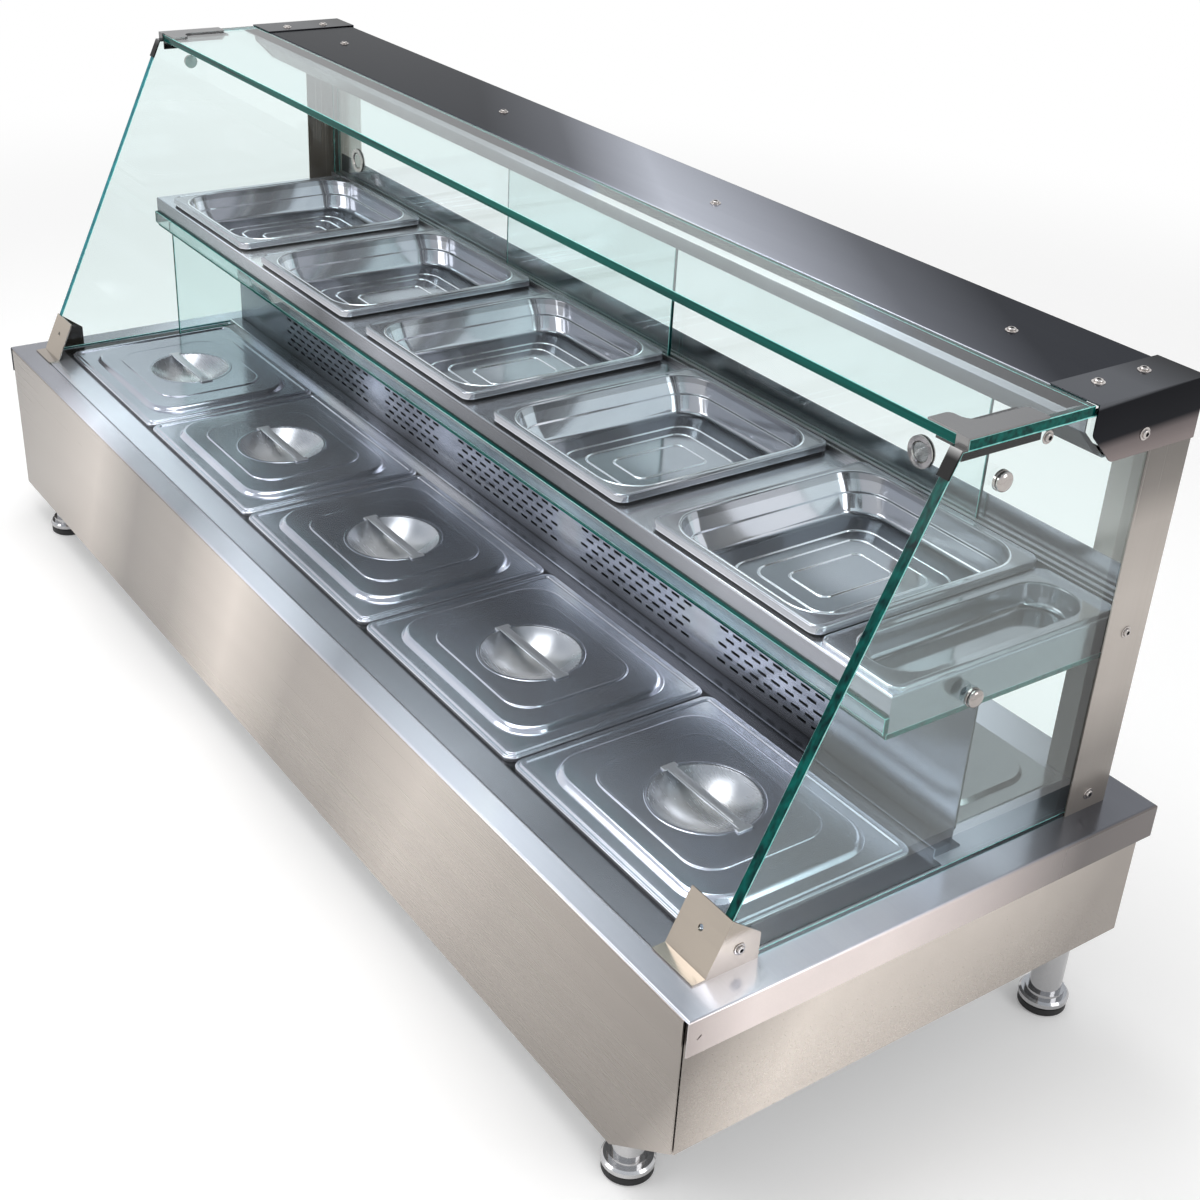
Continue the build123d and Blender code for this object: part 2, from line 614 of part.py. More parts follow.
def drain_valve():
    """Drain pipe from the tank floor and the valve body under the cabinet."""
    pipe = [(PIPE_BORE, VALVE_TOP), (PIPE_RADIUS, VALVE_TOP), (PIPE_RADIUS, TANK_FLOOR),
            (PIPE_BORE, TANK_FLOOR)]
    body = [(PIPE_BORE, VALVE_RISE - VALVE_NECK), (PIPE_RADIUS, VALVE_RISE - VALVE_NECK),
            (PIPE_RADIUS, VALVE_RISE), (VALVE_RADIUS, VALVE_RISE + VALVE_NECK),
            (VALVE_RADIUS, VALVE_TOP - VALVE_NECK), (PIPE_RADIUS, VALVE_TOP), (PIPE_BORE, VALVE_TOP)]
    place = Pos(DRAIN_X, DRAIN_Y, 0)
    valve = turned(pipe, place) + turned(body, place)
    plug = Pos(DRAIN_X, DRAIN_Y, VALVE_AXIS_Z) * Sphere(VALVE_RADIUS - VALVE_WALL)
    seat = Pos(DRAIN_X, DRAIN_Y, VALVE_AXIS_Z) * Rot(-90, 0, 0)
    boss = seat * Cylinder(STEM_RADIUS + BOSS_WALL, BOSS_END, align=LOW)
    bore = seat * Pos(0, 0, BOSS_END - STEM_SEAT) * Cylinder(STEM_RADIUS + STEM_FIT, 2 * STEM_SEAT, align=LOW)
    return valve + plug + boss - bore


def drain_lever():
    """Flat lever on the valve stem, lying level when the valve is shut."""
    seat = Pos(DRAIN_X, DRAIN_Y, VALVE_AXIS_Z) * Rot(-90, 0, 0)
    stem = seat * Pos(0, 0, BOSS_END - STEM_SEAT + LEVER_GAP) * Cylinder(STEM_RADIUS, STEM_SEAT, align=LOW)
    blade = Pos(LEVER_LENGTH / 2, 0) * SlotOverall(LEVER_LENGTH + LEVER_WIDTH, LEVER_WIDTH)
    arm = seat * Pos(0, 0, BOSS_END + LEVER_GAP) * extrude(blade, LEVER)
    return stem + arm


def pressed_pan(length, width, rim_drop, depth):
    """Drawn pan with sloped walls and a turned rim whose top is at height 0."""
    mouth_x = length - 2 * RIM_WIDTH
    mouth_y = width - 2 * RIM_WIDTH

    def bowl(grow, top, floor):
        foot_x = mouth_x - 2 * DRAFT + 2 * grow
        foot_y = mouth_y - 2 * DRAFT + 2 * grow
        foot_r = MOUTH_CORNER - DRAFT + grow
        return rounded_loft((mouth_x + 2 * grow, mouth_y + 2 * grow, MOUTH_CORNER + grow, top),
                            (foot_x, foot_y, foot_r, floor + KICK),
                            (foot_x - 2 * KICK, foot_y - 2 * KICK, foot_r - KICK, floor))

    rim = extrude(RectangleRounded(length, width, RIM_CORNER), -rim_drop)
    under = RectangleRounded(length - 2 * PAN_WALL, width - 2 * PAN_WALL, RIM_CORNER - PAN_WALL)
    rim -= Pos(0, 0, -PAN_WALL) * extrude(under, -rim_drop)
    return rim + bowl(PAN_WALL, 0, -depth) - bowl(0, PAN_WALL, PAN_WALL - depth)


def front_pan(x):
    """Deep pan hanging in the well by its rim."""
    pan = pressed_pan(PAN_LENGTH, PAN_WIDTH, PAN_RIM_DROP, PAN_DEPTH)
    return Pos(x, PAN_CENTRE_Y, PAN_RIM_TOP) * pan


def lid_bowl():
    """Round finger bowl of even wall, its rim at height 0."""
    deep = BOWL_DEPTH
    rise = (BOWL_RADIUS ** 2 - deep ** 2) / (2 * deep)
    radius = rise + deep
    half = math.asin(BOWL_RADIUS / radius) / 2
    middle = (radius * math.sin(half), rise - radius * math.cos(half))
    inner = ThreePointArc((0, -deep), middle, (BOWL_RADIUS, 0))
    outer = ThreePointArc((0, -deep - PAN_WALL), (middle[0], middle[1] - PAN_WALL),
                          (BOWL_RADIUS, -PAN_WALL))
    edges = [inner, Line((BOWL_RADIUS, 0), (BOWL_RADIUS, -PAN_WALL)), outer,
             Line((0, -deep - PAN_WALL), (0, -deep))]
    return revolve(Plane.XZ * make_face(edges), Axis.Z)


def pressed_lid():
    """Lid with a flat edge, a raised crown, a finger bowl and a strap across the bowl."""
    edge = extrude(RectangleRounded(PAN_LENGTH - 2 * LID_EDGE, PAN_WIDTH - 2 * LID_EDGE, RIM_CORNER),
                   PAN_WALL)
    crown_x = PAN_LENGTH - 2 * LID_FLANGE
    crown_y = PAN_WIDTH - 2 * LID_FLANGE
    top = PAN_WALL + LID_RISE

    def crown(grow, z0, z1):
        return rounded_loft((crown_x + 2 * grow, crown_y + 2 * grow, LID_CROWN_CORNER + grow, z0),
                            (crown_x - 2 * LID_SLOPE + 2 * grow, crown_y - 2 * LID_SLOPE + 2 * grow,
                             LID_CROWN_CORNER - LID_SLOPE + grow, z1))

    plateau = RectangleRounded(LID_PLATEAU_X, LID_PLATEAU_Y, LID_PLATEAU_CORNER)
    lid = edge + crown(0, 0, top) + Pos(0, 0, top) * extrude(plateau, LID_PLATEAU_RISE)
    lid -= crown(-PAN_WALL, -PAN_WALL, top - PAN_WALL)
    rim = top + LID_PLATEAU_RISE
    lid -= Pos(0, 0, top - PAN_WALL) * Cylinder(BOWL_RADIUS, 4 * LID_RISE)
    lid += Pos(0, 0, rim) * lid_bowl()
    strap = Pos(0, 0, rim) * extrude(SlotOverall(STRAP_LENGTH, STRAP_WIDTH), STRAP)
    groove = Rectangle(STRAP_LENGTH - 2 * STRAP_WIDTH, STRAP_WIDTH - 2 * STRAP_LIP)
    strap -= Pos(0, 0, rim + STRAP - STRAP_GROOVE) * extrude(groove, STRAP)
    return [lid, strap]


def front_lid(x):
    """Lid lying on the rim of its pan."""
    return group([Pos(x, PAN_CENTRE_Y, PAN_RIM_TOP) * piece for piece in pressed_lid()])


def ledge_rail():
    """Low box rail behind the pans, open below."""
    half = RISER_HALF_LENGTH
    rail = span(-half, half, RAIL_FRONT, RISER_FRONT, DECK_HEIGHT, DECK_HEIGHT + RAIL_HEIGHT)
    hollow = span(-half + SHEET, half - SHEET, RAIL_FRONT + SHEET, RISER_FRONT - SHEET,
                  DECK_HEIGHT - SHEET, DECK_HEIGHT + RAIL_HEIGHT - SHEET)
    return rail - hollow


def slot_places():
    """Middles of the riser's air slots, (x, z), in staggered rows."""
    places = []
    x0 = SLOT_END_GAP - RISER_HALF_LENGTH
    for count in SLOTS_PER_GROUP:
        for row in range(SLOT_ROWS):
            z = DECK_HEIGHT + SLOT_CENTRE_HEIGHT + SLOT_ROW_PITCH * (row - (SLOT_ROWS - 1) / 2)
            shift = SLOT_PITCH / 2 * (row % 2)
            for k in range(count - row % 2):
                places.append((x0 + SLOT_PITCH * (k + 0.5) + shift, z))
        x0 += count * SLOT_PITCH + SLOT_GROUP_GAP
    return places


def vent_riser():
    """Upright sheet between deck and shelf, folded back at both edges, with air slots."""
    half = RISER_HALF_LENGTH
    y = RISER_FRONT + SHEET / 2
    low = DECK_HEIGHT + SHEET / 2
    high = GLASS_UNDER - SHEET / 2
    sheet = folded([(y + RISER_FOLD, low), (y, low), (y, high), (y + RISER_FOLD, high)], -half, half)
    cutter = Box(SLOT_LENGTH, 4 * SHEET, SLOT_HEIGHT)
    return sheet - [Pos(x, y, z) * cutter for x, z in slot_places()]


def rear_deck_covers():
    """Pressed covers side by side on the deck behind the riser."""
    total = 2 * (WELL_HALF_LENGTH - COVER_END_GAP)
    length = (total - COVER_GAP * (COVER_COUNT - 1)) / COVER_COUNT
    front = RISER_FRONT + SHEET + RISER_FOLD + COVER_RISER_GAP
    width = REAR_PLANE - COVER_REAR_GAP - front
    bead_x = length - 2 * COVER_BEAD_INSET
    bead_y = width - 2 * COVER_BEAD_INSET
    corner = min(COVER_BEAD_CORNER, COVER_BEAD_CORNER_MOST * bead_y)

    def crown(grow, z0, z1):
        inset = 2 * COVER_RISE - 2 * grow
        return rounded_loft((bead_x + 2 * grow, bead_y + 2 * grow, corner + grow, z0),
                            (bead_x - inset, bead_y - inset, corner - COVER_RISE + grow, z1))

    cover = extrude(RectangleRounded(length, width, COVER_EDGE_CORNER), SHEET)
    cover += crown(0, 0, COVER_RISE + SHEET)
    cover -= crown(-SHEET, -SHEET, COVER_RISE)
    places = [Pos((length + COVER_GAP) * (k - (COVER_COUNT - 1) / 2), front + width / 2, DECK_HEIGHT)
              for k in range(COVER_COUNT)]
    return group([place * cover for place in places])


def end_glass(side):
    """Thick end pane with a leaning front edge, drilled for its clamp knobs."""
    pane = outline((GLASS_FOOT_Y, DECK_HEIGHT), (REAR_PLANE, DECK_HEIGHT),
                   (REAR_PLANE, TOP_GLASS_UNDER), (GLASS_HEAD_Y, TOP_GLASS_UNDER))
    glass = side_profile(CASE_INNER, CASE_HALF_LENGTH, pane)
    for y, z in knob_places():
        hole = Cylinder(KNOB_SHANK + KNOB_HOLE_CLEARANCE, 3 * END_GLASS)
        glass -= Pos(CASE_INNER, y, z) * Rot(0, 90, 0) * hole
    return glass if side > 0 else mirror(glass, Plane.YZ)


def top_glass():
    """Roof pane lying on the end panes and on the canopy's ledge."""
    pane = span(-CASE_HALF_LENGTH, CASE_HALF_LENGTH, TOP_GLASS_FRONT, CANOPY_FRONT - DOOR_RUNNING,
                TOP_GLASS_UNDER, CASE_TOP)
    return chamfer(pane.edges().filter_by(Axis.X), DOOR_RUNNING)


def canopy_top():
    """Roof channel over the doors: top, rear wall, front face with a slope, glass ledge."""
    top = CASE_TOP - SHEET / 2
    face = CANOPY_FRONT + SHEET / 2
    low = CANOPY_BOTTOM + SHEET / 2
    points = [(face + CANOPY_CHAMFER + CANOPY_RETURN, low), (face + CANOPY_CHAMFER, low),
              (face, CASE_TOP - CANOPY_FACE), (face, top), (REAR_PLANE - SHEET / 2, top),
              (REAR_PLANE - SHEET / 2, CANOPY_BOTTOM)]
    channel = folded(points, -CANOPY_HALF, CANOPY_HALF)
    ledge = span(-CANOPY_HALF, CANOPY_HALF, CANOPY_FRONT - CANOPY_LEDGE, CANOPY_FRONT + SHEET,
                 TOP_GLASS_UNDER - SHEET, TOP_GLASS_UNDER)
    return channel + ledge


def canopy_end_caps():
    """Covers over the canopy's ends: a strip on top, a side cheek and a rear lip."""
    x0 = CANOPY_HALF - CAP_WRAP
    x1 = CASE_HALF_LENGTH + SHEET
    y1 = REAR_PLANE + SHEET
    cheek = outline((CANOPY_FRONT, CASE_TOP + SHEET), (y1 + SHEET, CASE_TOP + SHEET),
                    (y1 + SHEET, CANOPY_BOTTOM), (CANOPY_FRONT + CANOPY_CHAMFER, CANOPY_BOTTOM),
                    (CANOPY_FRONT, CASE_TOP - CANOPY_FACE))
    bends = cheek.vertices().sort_by_distance((CANOPY_FRONT, CANOPY_BOTTOM))[:2]
    cheek = fillet(bends, CAP_CORNER)
    cap = side_profile(x1, x1 + SHEET, cheek)
    cap += span(x0, x1 + SHEET, CANOPY_FRONT, y1 + SHEET, CASE_TOP, CASE_TOP + SHEET)
    cap += span(x0, x1 + SHEET, y1, y1 + SHEET, CANOPY_BOTTOM, CASE_TOP + SHEET)
    return group(both_ends(cap))


def rear_posts():
    """Angle posts at the rear corners, one leg on the end pane and one behind the case."""
    x1 = CASE_HALF_LENGTH + SHEET
    z1 = CASE_TOP - POST_TOP_GAP
    y1 = REAR_PLANE + SHEET
    post = span(CASE_HALF_LENGTH, x1, y1 - POST_END_LEG, y1, DECK_HEIGHT, z1)
    post += span(x1 - POST_REAR_LEG, x1, REAR_PLANE, y1, DECK_HEIGHT, z1)
    return group(both_ends(post))


def lamp_batten():
    """Lamp batten under the canopy with a holder at each end."""
    top = CASE_TOP - SHEET
    half = BATTEN_LENGTH / 2
    z0 = top - BATTEN_HEIGHT
    body = outline((BATTEN_Y - BATTEN_WIDTH / 2, top), (BATTEN_Y + BATTEN_WIDTH / 2, top),
                   (BATTEN_Y + BATTEN_WIDTH / 3, z0), (BATTEN_Y - BATTEN_WIDTH / 3, z0))
    batten = side_profile(-half, half, body)
    for sign in (-1, 1):
        x = sign * (half - LAMP_HOLDER_LENGTH / 2)
        holder = Pos(x, BATTEN_Y, z0 - LAMP_HOLDER / 2)
        batten += holder * Box(LAMP_HOLDER_LENGTH, LAMP_HOLDER, LAMP_HOLDER)
    return batten


def lamp_tube():
    """Tube lamp between the two holders."""
    z = CASE_TOP - SHEET - BATTEN_HEIGHT - LAMP_DROP
    length = BATTEN_LENGTH - 2 * LAMP_HOLDER_LENGTH
    return Pos(0, BATTEN_Y, z) * Rot(0, 90, 0) * Cylinder(LAMP_RADIUS, length)


def slope_point(along, out):
    """Point (y, z) beside the end pane's leaning edge, by distance up it and out from it."""
    run = GLASS_HEAD_Y - GLASS_FOOT_Y
    edge = math.hypot(run, END_GLASS_HEIGHT)
    up = (run / edge, END_GLASS_HEIGHT / edge)
    return (GLASS_FOOT_Y + along * up[0] - out * up[1], DECK_HEIGHT + along * up[1] + out * up[0])


def lower_brackets():
    """Folded corner plates that hold the feet of the end panes to the deck."""
    x1 = CASE_HALF_LENGTH + PLATE
    x0 = x1 - FOOT_PLATE_LENGTH
    toe = (slope_point(0, PLATE)[0], DECK_HEIGHT)
    face = outline((GLASS_FOOT_Y, DECK_HEIGHT), slope_point(FOOT_PLATE_HEIGHT, 0),
                   slope_point(FOOT_PLATE_HEIGHT, PLATE), toe)
    ear_rear = GLASS_FOOT_Y + FOOT_EAR_DEPTH
    ear = outline(toe, slope_point(FOOT_PLATE_HEIGHT, PLATE),
                  (ear_rear, DECK_HEIGHT + FOOT_EAR_REAR_HEIGHT), (ear_rear, DECK_HEIGHT))
    tab = span(x0, x1, toe[0] - FOOT_TAB, GLASS_FOOT_Y, DECK_HEIGHT, DECK_HEIGHT + PLATE)
    bracket = side_profile(x0, x1, face) + side_profile(x1 - PLATE, x1, ear) + tab
    y, z = slope_point(FOOT_PLATE_HEIGHT * 0.6, 0)
    hole = Pos(x0 + FOOT_PLATE_LENGTH / 2, y, z) * Rot(90, 0, 0) * Cylinder(BRACKET_HOLE, 12 * PLATE)
    return group(both_ends(bracket - hole))


def upper_brackets():
    """Angled plates on the roof pane's front corners with a leg down the leaning edge."""
    x1 = CASE_HALF_LENGTH
    y0 = TOP_GLASS_FRONT
    angle = outline((x1, y0), (x1, y0 + HEAD_ARM_Y), (x1 - HEAD_ARM_WIDTH, y0 + HEAD_ARM_Y),
                    (x1 - HEAD_ARM_WIDTH, y0 + HEAD_ARM_WIDTH), (x1 - HEAD_ARM_X, y0 + HEAD_ARM_WIDTH),
                    (x1 - HEAD_ARM_X, y0))
    inner = angle.vertices().sort_by_distance((x1 - HEAD_ARM_WIDTH, y0 + HEAD_ARM_WIDTH))[0]
    angle = fillet(inner, HEAD_ARM_INNER)
    tips = angle.vertices().sort_by_distance((x1 - HEAD_ARM_WIDTH, y0 + HEAD_ARM_Y))[:1]
    tips += angle.vertices().sort_by_distance((x1 - HEAD_ARM_X, y0 + HEAD_ARM_WIDTH))[:1]
    angle = fillet(tips, HEAD_ARM_TIP)
    bracket = Pos(0, 0, CASE_TOP) * extrude(angle, PLATE)
    head = math.hypot(GLASS_HEAD_Y - GLASS_FOOT_Y, END_GLASS_HEIGHT)
    rise = TOP_GLASS_UNDER + PLATE - slope_point(head, PLATE)[1]
    bend = slope_point(head + rise * head / END_GLASS_HEIGHT, PLATE)
    leg = outline(slope_point(head - HEAD_LEG_LENGTH, 0), slope_point(head, 0),
                  (TOP_GLASS_FRONT, TOP_GLASS_UNDER), (TOP_GLASS_FRONT, CASE_TOP + PLATE),
                  (TOP_GLASS_FRONT - PLATE, CASE_TOP + PLATE),
                  (TOP_GLASS_FRONT - PLATE, TOP_GLASS_UNDER + PLATE), bend,
                  slope_point(head - HEAD_LEG_LENGTH, PLATE))
    bracket += side_profile(x1 - HEAD_LEG_WIDTH, x1, leg)
    tab = span(CASE_INNER - PLATE, CASE_INNER, GLASS_HEAD_Y + HEAD_TAB_HEIGHT / 2,
               y0 + HEAD_ARM_Y, TOP_GLASS_UNDER - HEAD_TAB_HEIGHT, TOP_GLASS_UNDER)
    tab += span(CASE_INNER - HEAD_ARM_WIDTH, CASE_INNER, GLASS_HEAD_Y + HEAD_TAB_HEIGHT / 2,
                y0 + HEAD_ARM_Y, TOP_GLASS_UNDER - PLATE, TOP_GLASS_UNDER)
    return group(both_ends(bracket) + both_ends(tab))


def upper_shelf():
    """Shelf sheet with a skirt all round, low at the front, a rear upstand and pan openings."""
    half = SHELF_HALF_LENGTH
    blank = span(-half, half, SHELF_FRONT, REAR_PLANE, SHELF_UNDER, SHELF_TOP)
    blank = fillet(blank.edges().group_by(Axis.Z)[-1].sort_by(Axis.Y)[:-1], BEND)
    shelf = blank - span(-half + SHEET, half - SHEET, SHELF_FRONT + SHEET, REAR_PLANE - SHEET,
                         SHELF_UNDER - SHEET, SHELF_TOP - SHEET)
    shelf += span(-half, half, REAR_PLANE - SHEET, REAR_PLANE, SHELF_UNDER, SHELF_TOP + SHELF_UPSTAND)
    shelf -= span(-half, half, SHELF_FRONT, SHELF_FRONT + SHEET, SHELF_UNDER, STRIP_TOP)
    slack = 2 * PAN_WALL + 2 * PAN_OPENING_CLEARANCE - 2 * RIM_WIDTH
    mouth = RectangleRounded(TRAY_LENGTH + slack, TRAY_WIDTH + slack, MOUTH_CORNER)
    cutter = extrude(mouth, 4 * SHEET, both=True)
    shelf -= [Pos(x, TRAY_CENTRE_Y, SHELF_TOP) * cutter for x in TRAY_XS]
    room = 2 * PAN_WALL + 2 * PAN_OPENING_CLEARANCE
    slot = Rot(0, 0, 90) * SlotOverall(NARROW_RECESS_Y + room, NARROW_RECESS_X + room)
    shelf -= Pos(NARROW_CENTRE_X, TRAY_CENTRE_Y, SHELF_TOP) * extrude(slot, 4 * SHEET, both=True)
    for sign in (-1, 1):
        hole = Rot(0, 90, 0) * Cylinder(KNOB_SHANK + KNOB_HOLE_CLEARANCE, 4 * SHEET)
        shelf -= Pos(sign * half, *knob_places()[1]) * hole
    return shelf


def shelf_glass():
    """Heater cover glass under the shelf and the glass strip below its front skirt."""
    half = SHELF_HALF_LENGTH
    cover = span(-half, half, SHELF_FRONT, REAR_PLANE, GLASS_UNDER, SHELF_UNDER)
    strip = span(-half, half, SHELF_FRONT - STRIP_PROUD, SHELF_FRONT + SHEET, SHELF_UNDER, STRIP_TOP)
    return group([cover, strip])


def shelf_heater():
    """Bent heater tubes lying on the cover glass below the shelf pans."""
    z = SHELF_UNDER + SHELF_HEATER_RADIUS
    half = SHELF_HALF_LENGTH - SHELF_HEATER_END_GAP
    spread = SHELF_HEATER_SPREAD / 2
    tubes = []
    for y in (TRAY_CENTRE_Y - SHELF_HEATER_SPREAD, TRAY_CENTRE_Y + SHELF_HEATER_SPREAD):
        line = FilletPolyline((half, y - spread, z), (-half, y - spread, z),
                              (-half, y + spread, z), (half, y + spread, z), radius=SHELF_HEATER_BEND)
        section = Plane(line @ 0, z_dir=line % 0) * Circle(SHELF_HEATER_RADIUS)
        tubes.append(sweep(section, path=line))
    return group(tubes)


def shelf_side_pane():
    """Upright pane that carries the left end of the shelf."""
    x0 = -SHELF_HALF_LENGTH + SIDE_PANE_INSET
    return span(x0, x0 + SIDE_GLASS, SIDE_PANE_FRONT, SIDE_PANE_REAR, DECK_HEIGHT, GLASS_UNDER)


def shelf_tray(x):
    """Open shelf pan with a raised rounded field in its floor."""
    pan = pressed_pan(TRAY_LENGTH, TRAY_WIDTH, TRAY_RIM_DROP, TRAY_DEPTH)
    field = RectangleRounded(TRAY_PLATEAU_X, TRAY_PLATEAU_Y, TRAY_PLATEAU_CORNER)
    pan += Pos(0, 0, PAN_WALL - TRAY_DEPTH) * extrude(field, TRAY_PLATEAU_RISE)
    return Pos(x, TRAY_CENTRE_Y, SHELF_TOP + TRAY_RIM_DROP) * pan


def narrow_tray():
    """Narrow tray at the right end of the shelf with a long round-ended recess."""
    rim = extrude(RectangleRounded(NARROW_LENGTH, TRAY_WIDTH, RIM_CORNER), -NARROW_RIM_DROP)
    under = RectangleRounded(NARROW_LENGTH - 2 * PAN_WALL, TRAY_WIDTH - 2 * PAN_WALL,
                             RIM_CORNER - PAN_WALL)
    rim -= Pos(0, 0, -PAN_WALL) * extrude(under, -NARROW_RIM_DROP)

    def recess(grow, top, floor):
        turn = Rot(0, 0, 90)
        mouth = SlotOverall(NARROW_RECESS_Y + 2 * grow, NARROW_RECESS_X + 2 * grow)
        foot = SlotOverall(NARROW_RECESS_Y - 2 * NARROW_DRAFT + 2 * grow,
                           NARROW_RECESS_X - 2 * NARROW_DRAFT + 2 * grow)
        return turn * loft([Pos(0, 0, top) * mouth, Pos(0, 0, floor) * foot], ruled=True)

    tray = rim + recess(PAN_WALL, 0, -NARROW_DEPTH) - recess(0, PAN_WALL, PAN_WALL - NARROW_DEPTH)
    return Pos(NARROW_CENTRE_X, TRAY_CENTRE_Y, SHELF_TOP + NARROW_RIM_DROP) * tray


def door_track(z0, z1, groove_z0, groove_z1):
    """Twin-groove bar for the sliding doors between z0 and z1."""
    half = SHELF_HALF_LENGTH - DOOR_RUNNING
    bar = span(-half, half, TRACK_REAR - TRACK_DEPTH, TRACK_REAR, z0, z1)
    for y in (DOOR_FRONT_Y, DOOR_REAR_Y):
        bar -= span(-half - SHEET, half + SHEET, y - GROOVE_WIDTH / 2, y + GROOVE_WIDTH / 2,
                    groove_z0, groove_z1)
    return bar


def door_track_lower():
    """Track on the shelf in front of its upstand."""
    return door_track(SHELF_TOP, SHELF_TOP + TRACK_LOW_HEIGHT, SHELF_TOP + TRACK_FLOOR,
                      SHELF_TOP + 2 * TRACK_LOW_HEIGHT)


def door_track_upper():
    """Track on the canopy's rear wall, its grooves open below."""
    top = TRACK_TOP_UNDER + TRACK_TOP_HEIGHT
    return door_track(TRACK_TOP_UNDER, top, TRACK_TOP_UNDER - SHEET, top - TRACK_TOP_FLOOR)


def door_pane(x0, y, pull_x):
    """Sliding pane with a round hole for its pull."""
    pane = span(x0, x0 + DOOR_LENGTH, y - DOOR_GLASS / 2, y + DOOR_GLASS / 2, DOOR_FOOT, DOOR_HEAD)
    hole = Rot(90, 0, 0) * Cylinder(PULL_BARREL + PULL_FIT, 3 * DOOR_GLASS)
    return pane - Pos(pull_x, y, SHELF_TOP + PULL_RISE) * hole


def door_pull(x, y):
    """Flush round pull through the pane with a dished face on both sides."""
    half = DOOR_GLASS / 2
    out = half + PULL_FLANGE
    dish = out - PULL_DISH
    lip = PULL_BARREL - PULL_LIP
    floor = lip - PULL_SLOPE
    profile = [(0, -dish), (floor, -dish), (lip, -out), (PULL_RADIUS, -out), (PULL_RADIUS, -half),
               (PULL_BARREL, -half), (PULL_BARREL, half), (PULL_RADIUS, half), (PULL_RADIUS, out),
               (lip, out), (floor, dish), (0, dish)]
    return turned(profile, Pos(x, y, SHELF_TOP + PULL_RISE) * Rot(90, 0, 0))


def knob_places():
    """Clamp knob axes on an end pane, (y, z): under the roof and at the shelf."""
    return [(TOP_GLASS_FRONT + HEAD_KNOB_SETBACK, CASE_TOP - HEAD_KNOB_DROP),
            (SHELF_FRONT + SHELF_KNOB_SETBACK, SHELF_TOP - SHELF_KNOB_DROP)]


def glass_knobs():
    """Clamp knobs through the end panes, with a spacer and nut behind the glass."""
    pieces = []
    shelf_gap = CASE_INNER - SHELF_HALF_LENGTH
    for index, (y, z) in enumerate(knob_places()):
        inner = END_GLASS + (shelf_gap + SHEET if index else 0)
        profile = [(0, KNOB_HEIGHT), (KNOB_CROWN, KNOB_HEIGHT), (KNOB_RADIUS, KNOB_SHOULDER),
                   (KNOB_RADIUS, SHEET), (KNOB_WASHER, SHEET), (KNOB_WASHER, 0), (KNOB_SHANK, 0),
                   (KNOB_SHANK, -inner), (KNOB_NUT, -inner), (KNOB_NUT, -inner - KNOB_NUT_HEIGHT),
                   (0, -inner - KNOB_NUT_HEIGHT)]
        knob = turned(profile, Pos(CASE_HALF_LENGTH, y, z) * Rot(0, 90, 0))
        if index:
            sleeve = Circle(KNOB_NUT) - Circle(KNOB_SHANK)
            place = Pos(CASE_INNER - shelf_gap, y, z) * Rot(0, 90, 0)
            knob += place * extrude(sleeve, shelf_gap)
        pieces += both_ends(knob)
    return group(pieces)


def screw(place):
    """Domed screw head on a washer, standing on the place's plane."""
    top = WASHER + SCREW_HEAD
    profile = [(0, 0), (WASHER_RADIUS, 0), (WASHER_RADIUS, WASHER), (SCREW_RADIUS, WASHER),
               (SCREW_CROWN, WASHER + SCREW_SHOULDER), (0, top)]
    return turned(profile, place)


def case_screws():
    """Screws of the canopy, its caps, the posts and the lower corner plates."""
    reach = CANOPY_HALF - ROOF_SCREW_INSET
    pitch = 2 * reach / (ROOF_SCREW_COUNT - 1)
    pieces = [screw(Pos(pitch * k - reach, ROOF_MIDDLE_Y, CASE_TOP))
              for k in range(ROOF_SCREW_COUNT)]
    cap_x = CANOPY_HALF - CAP_WRAP / 2
    cap_side = CASE_HALF_LENGTH + 2 * SHEET
    post_side = CASE_HALF_LENGTH + SHEET
    post_y = REAR_PLANE + SHEET - POST_END_LEG / 2
    ear_side = CASE_HALF_LENGTH + PLATE
    right = [Pos(cap_x, CANOPY_FRONT + CAP_WRAP, CASE_TOP + SHEET),
             Pos(cap_x, REAR_PLANE - CAP_WRAP, CASE_TOP + SHEET),
             Pos(cap_side, ROOF_MIDDLE_Y, CANOPY_BOTTOM + SCREW_EDGE) * Rot(0, 90, 0),
             Pos(post_side, post_y, SHELF_TOP - 3 * SHELF_SKIRT / 8) * Rot(0, 90, 0),
             Pos(post_side, post_y, DECK_HEIGHT + SCREW_EDGE) * Rot(0, 90, 0),
             Pos(ear_side, GLASS_FOOT_Y + EAR_SCREW_SETBACK, DECK_HEIGHT + EAR_SCREW_RISE) * Rot(0, 90, 0)]
    for place in right:
        pieces += both_ends(screw(place))
    return group(pieces)


def thermostat_body():
    """Thermostat behind the rear panel with its threaded bush through the sheet."""
    back = REAR_PANEL_IN - THERMOSTAT_DEPTH
    half = THERMOSTAT_BODY / 2
    body = span(THERMOSTAT_X - half, THERMOSTAT_X + half, back, REAR_PANEL_IN,
                CONTROL_Z - half, CONTROL_Z + half)
    face = Pos(THERMOSTAT_X, REAR_PANEL_IN, CONTROL_Z) * Rot(-90, 0, 0)
    reach = SHEET + BUSH_LENGTH
    body += face * Cylinder(BUSH_RADIUS, reach, align=LOW)
    depth = SPINDLE_DEPTH + reach
    return body - face * Pos(0, 0, reach - depth) * Cylinder(SPINDLE_RADIUS + SPINDLE_FIT, depth, align=LOW)


